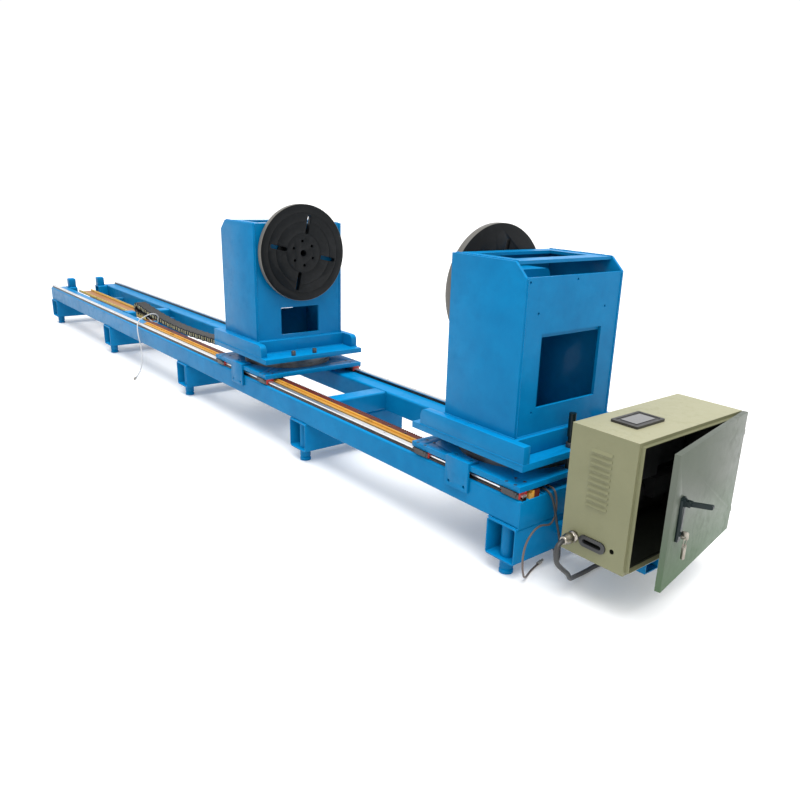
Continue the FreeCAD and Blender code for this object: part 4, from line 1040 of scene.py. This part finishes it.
@dataclass
class Cords:
    """Supply lead with its coil and plug, and the thinner cords at the bed."""

    shop: Shop
    lead_d: float = 0.018
    gland: tuple[float, float] = (197.0, 250.0)
    coil: tuple[float, float] = (29.0, 900.0)
    lead_height: float = 9.1
    coil_gap: float = 18.4
    pins_x: float = -4309.579

    def curve(self, name: str, points: Sequence[Vector], diameter: float, slot: str) -> bpy.types.Object:
        """Make a round cord on one smooth spline.

        Args:
            name: Name of the cord.
            points: Its route.
            diameter: Its diameter.
            slot: Material slot.

        Returns:
            The curve object.
        """
        data = bpy.data.curves.new(name, "CURVE")
        data.dimensions = "3D"
        spline = data.splines.new("NURBS")
        spline.points.add(len(points) - 1)
        for spot, point in zip(spline.points, points):
            spot.co = (*point, 1.0)
        spline.order_u = 3
        spline.use_endpoint_u = True
        data.resolution_u = 6
        data.bevel_depth = diameter / 2
        data.bevel_resolution = 4
        data.use_fill_caps = True
        data.materials.append(self.shop.paint[slot])
        cord = placed(name, data)
        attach(cord, "base")
        return cord

    def measured(self, cord: bpy.types.Object) -> float:
        """Measure a cord's line.

        Args:
            cord: The curve object.

        Returns:
            Its length in metres.
        """
        bare = cord.data.copy()
        bare.bevel_depth = 0.0
        bare.resolution_u = 24
        probe = bpy.data.objects.new("probe", bare)
        line = bpy.data.meshes.new_from_object(probe)
        spots = [vert.co for vert in line.vertices]
        total = sum((spots[edge.vertices[0]] - spots[edge.vertices[1]]).length for edge in line.edges)
        bpy.data.objects.remove(probe)
        bpy.data.meshes.remove(line)
        return total

    def lead_route(self) -> list[Vector]:
        """Route of the supply lead from its gland to the coil.

        Returns:
            The points of the spline.
        """
        x, z0 = self.gland
        y, z = 76.0, self.lead_height
        return [at(x, y - 46, z0), at(x, y - 76, z0), at(x + 2, y - 98, z0 - 26), at(x + 4, y - 92, z0 - 76),
                at(x + 5, y - 52, z0 - 114), at(x - 2, y - 10, z0 - 148), at(x - 16, y + 22, 66),
                at(x - 34, y + 54, 46), at(x - 50, y + 88, 31), at(x - 62, y + 124, 20),
                at(x - 69, y + 164, z + 4), at(x - 73, y + 210, z + 1), at(x - 78, y + 264, z + 1),
                at(x - 66, y + 344, z), at(x - 74, y + 424, z + 1), at(x - 60, y + 504, z),
                at(x - 64, y + 584, z + 1), at(x - 54, y + 660, z)]

    def coil_route(self) -> list[Vector]:
        """Three layers of turns that lie a diameter apart, and the rise to the plug on top.

        Returns:
            The points of the spline.
        """
        cx, cy = self.coil
        step, turn = math.radians(22.5), math.radians(-33.75)
        radius, height = 141.0, self.lead_height
        top, rise, widening = 45.9, 31.7, 4.5
        spots = [(turn, radius, height)]
        for layer, way in enumerate((-1.0, 1.0, -1.0)):
            for _ in range(32):
                turn += step
                radius += way * self.coil_gap / 16.0
                spots.append((turn, radius, height))
            for _ in range(4 if layer < 2 else 0):
                turn += step
                height += self.coil_gap / 4.0
                spots.append((turn, radius, height))
        for share in (0.15, 0.5, 0.85, 1.0):
            turn += step
            radius += widening
            spots.append((turn, radius, top + rise * share))
        return [at(cx + r * math.cos(a), cy + r * math.sin(a), z) for a, r, z in spots]

    def supply(self) -> None:
        """Lay the supply lead with its coil, up to the plug."""
        cx, cy = self.coil
        route = self.lead_route() + self.coil_route()
        route += [at(cx - 60, cy - 123, 77.6), at(cx - 49, cy - 123, 77.6)]
        lead = self.curve("supply_lead_cord", route, self.lead_d, "rubber_black")
        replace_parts(lead, "supply_lead", "lead_coil")
        length = self.measured(lead)
        log.info("supply lead %.3f m", length)

    def coupling(self, name: str, route: Sequence[Vector], r: float) -> bpy.types.Object:
        """Push-in coupling on the end of a cord.

        Args:
            name: Name of the piece.
            route: The cord's route.
            r: The cord's radius.

        Returns:
            The piece.
        """
        body, tip = r + 0.0035, r + 0.001
        work = bmesh.new()
        add_lathe(work, [(0.0, 0.0), (body - 0.0012, 0.0), (body, 0.0012), (body, 0.008),
                         (body - 0.001, 0.0088), (body - 0.001, 0.0112), (body, 0.012), (body, 0.0245),
                         (body - 0.0015, 0.026), (tip, 0.026), (tip, 0.0425), (tip - 0.0015, 0.044),
                         (0.0, 0.044)], ROUND_SIDES)
        mesh = smoothed(built(work, name), SMALL_TURN)
        way = route[-1] - route[-2]
        way.z = 0.0
        foot = Matrix.Translation((route[-1].x, route[-1].y, r + 0.0036))
        mesh.transform(foot @ way.to_track_quat("Z", "Y").to_matrix().to_4x4())
        thing = self.shop.piece(name, mesh, "base", "nickel")
        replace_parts(thing, "hose_fitting")
        return thing

    def thin(self, node: str, points: Sequence[Vector], diameter: float, slot: str) -> None:
        """Lay one of the thinner cords.

        Args:
            node: CAD node that it stands for.
            points: Its route.
            diameter: Its diameter.
            slot: Material slot.
        """
        cord = self.curve(node + "_cord", points, diameter, slot)
        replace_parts(cord, node)
        length = self.measured(cord)
        log.info("%s %.3f m", node, length)
        end = self.coupling(node + "_coupling", points, diameter / 2)

    def build(self) -> None:
        """Lay every cord."""
        self.supply()
        start, z = -51.2, 335.0
        self.thin("black_cable", [
            at(start, 143, z), at(-14, 143, z + 7), at(16, 144, z - 1), at(34, 147, 308), at(42, 153, 268),
            at(46, 165, 216), at(48, 184, 160), at(48, 196, 104), at(40, 208, 56), at(16, 236, 18),
            at(-26, 280, 7), at(-80, 322, 8), at(-132, 352, 7)], 0.010, "rubber_black")
        self.thin("brown_hose", [
            at(start, 181, z), at(-16, 181, z + 6), at(10, 179, z - 1), at(24, 177, 308), at(30, 176, 266),
            at(31, 168, 228), at(31, 147, 207), at(32, 116, 215), at(34, 82, 223), at(36, 44, 211),
            at(38, 10, 178), at(40, -5, 130), at(40, -2, 82), at(35, 12, 42), at(23, 36, 15), at(4, 72, 5),
            at(-16, 117, 6), at(-30, 169, 5)], 0.008, "hose_brown")
        x, side, inner, low, top, bed = self.pins_x, 244.3, 264.1, 272.0, 369.0, BED_TOP
        self.thin("grey_hose", [
            at(x - 10, inner, low + 14), at(x + 50, inner - 1, low + 12), at(x + 105, inner - 14, low + 10),
            at(x + 165, side, low + 8), at(x + 230, side, low + 10), at(-4040, side, low + 18),
            at(-4014, side, low + 48), at(-4008, 240, low + 80), at(-4000, 216, top - 2),
            at(-3986, 178, top + 4), at(-3950, 130, top - 2), at(-3890, 76, top - 6), at(-3820, 26, top - 9),
            at(-3760, -8, top - 34), at(-3720, -20, bed - 46), at(-3696, -18, bed - 110),
            at(-3676, -20, 150), at(-3660, -30, 84), at(-3648, -50, 34), at(-3620, -84, 7),
            at(-3570, -116, 5)], 0.008, "hose_grey")


@dataclass
class DragChain:
    """Links of the drag chain, with the run that moves and the run that lies still."""

    shop: Shop
    pitch: float = 50.0
    width: float = 85.0
    height: float = 40.0
    plate: float = 5.0
    upper: int = 40
    middle: float = 292.0
    end_x: float = -2513.0
    sag_x: float = -3650.0
    sag_z: float = 302.0
    back_run: float = 858.0
    back_rise: float = 58.0
    front_rise: float = 39.0
    lower_z: float = 292.0
    bar_x: float = 0.0125
    pins: list[tuple[float, float]] = field(default_factory=list)

    def run_z(self, x: float) -> float:
        """Height of the upper run, which rises from its lowest place to both sides.

        Args:
            x: Place along the bed.

        Returns:
            Height of the pins there.
        """
        if x < self.sag_x:
            return self.sag_z + self.back_rise * ((self.sag_x - x) / self.back_run) ** 2
        share = (x - self.sag_x) / (self.end_x - self.sag_x)
        return self.sag_z + self.front_rise * share * share * (3 - 2 * share)

    def find_pins(self) -> None:
        """Work out the pin places along the chain."""
        x = self.end_x
        self.pins = [(x, self.run_z(x))]
        for _ in range(self.upper):
            slope = (self.run_z(x) - self.run_z(x - self.pitch)) / self.pitch
            x -= self.pitch / math.hypot(1.0, slope)
            self.pins.append((x, self.run_z(x)))
        rise = (self.pins[-1][1] - self.lower_z) / 2
        self.pins.append((x - math.sqrt(self.pitch ** 2 - rise ** 2), self.lower_z + rise))
        self.pins += [(x + i * self.pitch, self.lower_z) for i in range(5)]

    def outer(self, inside: bool) -> float:
        """Half the width in metres over the plates of an outer or an inner link."""
        return (self.width / 2 - (self.plate + 0.3 if inside else 0.0)) * 0.001

    def link(self, inside: bool) -> bpy.types.Mesh:
        """Mesh of one link about its middle.

        Args:
            inside: Whether its plates run between those of its neighbours.

        Returns:
            The mesh in metres.
        """
        k = 0.001
        outer = self.outer(inside)
        half, h, t = (self.pitch / 2 + 9) * k, self.height / 2 * k, self.plate * k
        r = h * 0.96
        outline = []
        for end in (1, -1):
            for a in (math.radians(-90 * end + 30 * i) for i in range(7)):
                outline.append((end * (half - r) + r * math.cos(a), r * math.sin(a)))
        work = bmesh.new()
        for side in (-1, 1):
            faces = sorted((side * outer, side * (outer - t)))
            add_loft(work, [[(x, y, z) for x, z in outline] for y in faces])
        bar_half, bar_thick = 0.0105, 0.0035
        for mid in (-self.bar_x, self.bar_x):
            for z0 in (-h + 0.001, h - bar_thick - 0.001):
                foot = Vector((mid - bar_half, -outer + t, z0))
                add_slab(work, foot, Vector((mid + bar_half, outer - t, z0 + bar_thick)), 0.0008)
        upright = Matrix.Rotation(math.radians(90), 4, "X")
        for end in (-1, 1):
            for side in (-1, 1):
                y = side * (outer + (0.0009 if not inside else -0.0003))
                stub = bmesh.ops.create_cone(work, cap_ends=True, segments=12, radius1=0.0058, radius2=0.0052,
                                             depth=0.0022)
                turn = Matrix.Translation((end * self.pitch / 2 * k, y, 0.0)) @ upright
                bmesh.ops.transform(work, matrix=turn, verts=stub["verts"])
        return built(work, "chain_link")

    def tabs(self, inside: bool) -> bpy.types.Mesh:
        """Pale tabs that lock the crossbars into one link's plates.

        Args:
            inside: Whether the link's plates run between those of its neighbours.

        Returns:
            The mesh in metres.
        """
        outer = self.outer(inside)
        half, reach, proud, sunk = 0.0040, 0.011, 0.0012, 0.001
        work = bmesh.new()
        for mid in (-self.bar_x, self.bar_x):
            for y0, y1 in ((-outer - proud, -outer + sunk), (outer - sunk, outer + proud)):
                add_slab(work, Vector((mid - half, y0, -reach)), Vector((mid + half, y1, reach)), 0.0004)
        return built(work, "chain_tabs")

    def lay(self, name: str, first: int, last: int, inside: bool, recipe: Recipe,
            tabs: bool = False) -> bpy.types.Object:
        """Set the links of one kind, or their tabs, between two pins of the chain.

        Args:
            name: Name of the piece.
            first: Number of the first pin.
            last: Number of the last pin.
            inside: Whether the inner links are set.
            recipe: Tree that sets them.
            tabs: Whether the tabs are set.

        Returns:
            The piece.
        """
        spots, leans = [], []
        for i in range(first, last):
            if (i % 2 == 1) == inside:
                (xa, za), (xb, zb) = self.pins[i], self.pins[i + 1]
                spots.append(at((xa + xb) / 2, self.middle, (za + zb) / 2))
                leans.append(-math.atan2(zb - za, xb - xa))
        links = Pattern(recipe, self.tabs(inside) if tabs else self.link(inside))
        finish = self.shop.paint["chain_tab" if tabs else "chain_plastic"]
        thing = placed(name, links.laid(name, spots, leans, finish))
        return thing

    def build(self) -> None:
        """Lay the chain and bend it between the bed and the head carriage."""
        self.find_pins()
        recipe = part_recipe()
        bend, moving, fixed = (at(x, self.middle, self.lower_z) for x in
                               (self.pins[self.upper + 1][0], self.end_x, self.pins[-1][0]))
        for inside in (False, True):
            for tabs in (False, True):
                word = ("inner" if inside else "outer") + ("_tabs" if tabs else "")
                upper = self.lay("chain_upper_" + word, 0, self.upper, inside, recipe, tabs)
                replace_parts(upper, "drag_chain")
                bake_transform(upper)
                lower = self.lay("chain_lower_" + word, self.upper, len(self.pins) - 1, inside, recipe, tabs)
                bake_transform(lower)


@dataclass
class Welds:
    """Weld beads along the joints of the painted frame."""

    shop: Shop
    pitch: float = 0.0055
    radius: float = 0.0042
    tube_seam_z: float = 324.5

    def lay(self, name: str, body: str, lines: Sequence[Sequence[Vector]], recipe: Recipe) -> None:
        """Lay beads along lines.

        Args:
            name: Name of the piece.
            body: Body that it rides on.
            lines: Corner points of each bead.
            recipe: Tree that makes the bead.
        """
        verts: list[Vector] = []
        edges: list[tuple[int, int]] = []
        for line in lines:
            first = len(verts)
            verts += line
            edges += [(first + i, first + i + 1) for i in range(len(line) - 1)]
        values = {"Pitch": self.pitch, "Radius": self.radius, "Finish": self.shop.paint["blue_paint"]}
        made = recipe.run(drawn(name, verts, edges), values)
        made.shade_smooth()
        self.shop.piece(name, made, body, "blue_paint")

    def turntable(self, cx: float, way: float) -> list[list[Vector]]:
        """Beads of one tray and housing.

        Args:
            cx: Middle of the carriage along the bed.
            way: Way that the table faces.

        Returns:
            Corner points of each bead.
        """
        rear, front, outer, inner = -226, 151, 275, 263
        tray_rear, tray_front, tray_side = -308, 259, 309
        tray_z, foot_z, roof_z, rear_z = 468.5, 537, 1162, 1111
        lines = []
        for side in (-1.0, 1.0):
            lines.append([(rear, side * outer, foot_z), (front, side * outer, foot_z)])
            lines.append([(tray_rear, side * tray_side, tray_z), (tray_front, side * tray_side, tray_z)])
            for u, top in ((front, roof_z), (rear, rear_z)):
                lines.append([(u, side * inner, foot_z + 3), (u, side * inner, top - 6)])
            lines.append([(-172, side * inner, roof_z), (139, side * inner, roof_z)])
            lines.append([(261, side * 308, tray_z), (261, side * 277, tray_z)])
        lines.append([(171, -272, tray_z), (171, 272, tray_z)])
        for u in (front, rear):
            lines.append([(u, -262, foot_z), (u, 262, foot_z)])
        return [[at(cx + way * u, MIDDLE_Y + v, z) for u, v, z in line] for line in lines]

    def bed(self) -> list[list[Vector]]:
        """Beads between the tubes of the bed.

        Returns:
            Corner points of each bead.
        """
        lines = []
        inner_y = BED_WIDTH - TUBE_WIDTH
        for x in FOOT_PLACES:
            for edge in (-BEAM_HALF, BEAM_HALF):
                seam = max(x + edge, 5.0 - BED_LENGTH)
                for y0, y1 in ((0.5, TUBE_WIDTH - 0.5), (inner_y + 0.5, BED_WIDTH - 0.5)):
                    lines.append([at(seam, y0, FOOT_TOP), at(seam, y1, FOOT_TOP)])
            x0, x1 = max(x - BEAM_HALF + 1, 6.0 - BED_LENGTH), x + BEAM_HALF - 1
            for y in (0, BED_WIDTH):
                lines.append([at(x0, y, FOOT_TOP), at(x1, y, FOOT_TOP)])
        for x0, x1 in ((-98.0, -2.0), (-1526.0, -1430.0), (-4469.0, -4375.0), (-5994.0, -5900.0)):
            for y in (TUBE_WIDTH, inner_y):
                lines.append([at(x0, y, self.tube_seam_z), at(x1, y, self.tube_seam_z)])
        return lines

    def build(self) -> None:
        """Lay every bead."""
        recipe = weld_recipe()
        self.lay("bed_welds", "base", self.bed(), recipe)
        for side, (cx, way) in CARRIAGES.items():
            self.lay(side + "_welds", side + "_turntable", self.turntable(cx, way), recipe)


@dataclass
class Fasteners:
    """Socket screws of the blocks, motors, bearings and rack."""

    shop: Shop
    plate_top: float = 381.9
    outer_row: float = 21.0
    inner_row: float = 28.5
    motor_y: float = 161.0
    motor_top: float = 433.0
    bearing_face: float = 163.0
    bearing_ring: float = 119.0
    rack_pitch: float = 118.0
    rack_top: float = 353.0

    def socket_screw(self, r: float, h: float) -> bpy.types.Mesh:
        """Cap screw head with a hexagon socket, standing on Z.

        Args:
            r: Its radius.
            h: Its height.

        Returns:
            The mesh.
        """
        work = bmesh.new()
        turns = [math.tau * i / ROUND_SIDES for i in range(ROUND_SIDES)]
        hexagon = [0.5 * r / max(math.cos((a % math.radians(60)) - math.radians(30)), 0.5) for a in turns]
        levels = [([rad] * ROUND_SIDES, z) for rad, z in ((r, 0.0), (r, h * 0.86), (r * 0.9, h))]
        rings = []
        for reaches, z in levels + [(hexagon, h), (hexagon, h * 0.35)]:
            rings.append([(d * math.cos(a), d * math.sin(a), z) for d, a in zip(reaches, turns)])
        add_loft(work, rings)
        return smoothed(built(work, "socket_screw"), SMALL_TURN)

    def rows(self, name: str, body: str, head: bpy.types.Mesh, spots: Sequence[Vector], lean: float,
             slot: str, recipe: Recipe) -> None:
        """Set one kind of head on many points.

        Args:
            name: Name of the piece.
            body: Body that it rides on.
            head: Mesh of one head.
            spots: Where the heads stand.
            lean: Turn about Y in degrees from Z to the head's axis.
            slot: Material slot.
            recipe: Tree that sets them.
        """
        heads = Pattern(recipe, head, twist=3.0)
        leans = [math.radians(lean)] * len(spots)
        self.shop.piece(name, heads.laid(name, spots, leans, self.shop.paint[slot]), body, slot)

    def build(self) -> None:
        """Set every fastener."""
        recipe = part_recipe()
        cap = self.socket_screw(0.0065, 0.0022)
        for side, (cx, _) in CARRIAGES.items():
            spots = []
            for bx in (cx - BLOCK_RUN, cx + BLOCK_RUN):
                for by, outward in zip(RAIL_YS, (-1.0, 1.0)):
                    for dx in (-BOLT_RUN, BOLT_RUN):
                        pair = (by + outward * self.outer_row, by - outward * self.inner_row)
                        spots += [at(bx + dx, y, self.plate_top) for y in pair]
            self.rows(side + "_block_screws", side + "_carriage", cap, spots, 0.0, "motor_black", recipe)
            low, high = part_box(side + "_pinion")
            x = (low[0] + high[0]) * 500.0 + ORIGIN_X
            turns = [math.radians(45 + 90 * i) for i in range(4)]
            feet = [at(x + 33 * math.cos(a), self.motor_y + 33 * math.sin(a), self.motor_top) for a in turns]
            self.rows(side + "_motor_screws", side + "_carriage", self.socket_screw(0.004, 0.004), feet, 0.0,
                      "zinc", recipe)
        for side, (cx, way) in CARRIAGES.items():
            turns = [math.tau * (i + 0.5) / 8 for i in range(8)]
            face, r = cx + way * self.bearing_face, self.bearing_ring
            ring = [at(face, MIDDLE_Y + r * math.cos(a), SPINDLE_Z + r * math.sin(a)) for a in turns]
            self.rows(side + "_bearing_screws", side + "_turntable", self.socket_screw(0.009, 0.0045), ring,
                      90.0 * way, "motor_black", recipe)
        rack = [at(-60.0 - self.rack_pitch * i, 85, self.rack_top) for i in range(32)]
        self.rows("rack_screws", "base", self.socket_screw(0.006, 0.0025), rack, 0.0, "motor_black", recipe)


@dataclass
class Trim:
    """Closing plates, collars, seals and other small pieces of the bed and carriages."""

    shop: Shop
    wall: float = 6.0
    collar_r: float = 0.027
    block_half: float = 42.0
    fill_half: float = 4.7
    seal_half: float = 21.0
    seal_gap: float = 12.2

    def slabs(self, name: str, corners: Sequence[tuple[Vector, Vector]], ease: float, body: str,
              slot: str) -> None:
        """Make one piece of eased blocks.

        Args:
            name: Name of the piece.
            corners: Lowest and highest corner of each block.
            ease: Width of the eased edges in metres.
            body: Body that it rides on.
            slot: Material slot.
        """
        work = bmesh.new()
        for low, high in corners:
            add_slab(work, low, high, ease)
        self.shop.piece(name, smoothed(built(work, name)), body, slot)

    def bed_ends(self) -> None:
        """Plate over the bed's near end, and caps in the tubes at its far end."""
        plate = (at(0.0, 0.0, FOOT_TOP), at(5.0, BED_WIDTH, BED_TOP))
        self.slabs("bed_end_plate", [plate], 0.0015, "base", "blue_paint")
        caps = []
        for y in (0.0, BED_WIDTH - TUBE_WIDTH):
            low = at(-BED_LENGTH + 0.5, y + self.wall, FOOT_TOP + self.wall)
            high = at(-BED_LENGTH + 6.0, y + TUBE_WIDTH - self.wall, BED_TOP - self.wall)
            caps.append((low, high))
        self.slabs("tube_end_caps", caps, 0.0005, "base", "blue_paint")

    def collars(self) -> None:
        """Round collars of the levelling feet, between the beam and the pad."""
        r = self.collar_r
        low, top, ease = 0.020, 0.0648, 0.002
        profile = [(0.0, low), (r - ease, low), (r, 0.022), (r, top), (0.0, top)]
        work = bmesh.new()
        for x in FOOT_PLACES:
            for y in (ORIGIN_Y, BED_WIDTH - ORIGIN_Y):
                known = set(work.verts)
                add_lathe(work, profile, 28)
                fresh = [vert for vert in work.verts if vert not in known]
                bmesh.ops.translate(work, verts=fresh, vec=at(x, y, 0.0))
        self.shop.piece("foot_collars", smoothed(built(work, "foot_collars")), "base", "blue_paint")

    def carriage(self, side: str, cx: float) -> None:
        """Edge fillers of the carriage plate and the end seals of its guide blocks.

        Args:
            side: head or tail.
            cx: Middle of the carriage along the bed.
        """
        fills, seals = [], []
        for bx in (cx - BLOCK_RUN, cx + BLOCK_RUN):
            for dx in (-BOLT_RUN, BOLT_RUN):
                for y0, y1 in ((-3.95, 1.0), (611.0, 615.95)):
                    low, high = bx + dx - self.fill_half, bx + dx + self.fill_half
                    fills.append((at(low, y0, 361.05), at(high, y1, 382.95)))
            for y in RAIL_YS:
                for end in (-1.0, 1.0):
                    x0, x1 = sorted((bx + end * self.block_half, bx + end * (self.block_half + 2.5)))
                    seals.append((at(x0, y - self.seal_half, 348.6), at(x1, y + self.seal_half, 359.5)))
                    for low, high in ((-self.seal_half, -self.seal_gap), (self.seal_gap, self.seal_half)):
                        seals.append((at(x0, y + low, 332.5), at(x1, y + high, 348.9)))
        self.slabs(side + "_plate_fillers", fills, 0.0, side + "_carriage", "blue_paint")
        self.slabs(side + "_block_seals", seals, 0.0006, side + "_carriage", "rubber_black")

    def build(self) -> None:
        """Make every small piece."""
        self.bed_ends()
        self.collars()
        for side, (cx, _) in CARRIAGES.items():
            self.carriage(side, cx)


@dataclass
class Cabinet:
    """Dressing of the control cabinet."""

    shop: Shop

    def screen(self) -> None:
        """Glass of the operator panel in its recess."""
        work = bmesh.new()
        add_slab(work, at(232.0, 215.0, 663.6), at(298.0, 327.0, 665.2), 0.0006)
        mesh = built(work, "panel_glass")
        pot = Palette("dark_glass")
        tone = pot.mix(pot.noise(14.0, 3.0).between(0.4, 0.6), (0.012, 0.014, 0.018), (0.020, 0.022, 0.026))
        pot.feed("Base Color", tone)
        pot.feed("Roughness", pot.noise(30.0, 3.0) * 0.05 + 0.04)
        pot.feed("Coat Weight", 1.0)
        mesh.materials.append(pot.material)
        self.shop.piece("panel_glass", mesh, "base", "panel_black")

    def build(self) -> None:
        """Dress the cabinet."""
        self.screen()
        self.shop.parted("cable_gland", "base", "nickel", "rubber_black", lambda spot: spot.x > 0.31)
        self.shop.parted("lock_case", "door", "lock_black", "nickel", lambda spot: spot.z < 0.40)


def main() -> None:
    """Build every piece in order."""
    logging.basicConfig(level=logging.INFO, format="%(message)s")
    view = StudioView()
    view.camera()
    view.light()
    view.floor()
    shop = Shop()
    shop.dress_frame()
    Cords(shop).build()
    DragChain(shop).build()
    for side in CARRIAGES:
        for part, width in CARRIAGE_EASES.items():
            shop.eased(f"{side}_{part}", side + "_carriage", width)
        for part, width in TURNTABLE_EASES.items():
            shop.eased(f"{side}_{part}", side + "_turntable", width)
        shop.eased(side + "_faceplate", side + "_table", FACEPLATE_EASE)
    for part, width in BASE_EASES.items():
        shop.eased(part, "base", width)
    shop.eased("cabinet_door", "door", DOOR_EASE)
    Welds(shop).build()
    Fasteners(shop).build()
    Trim(shop).build()
    Cabinet(shop).build()


if __name__ == "__main__":
    main()
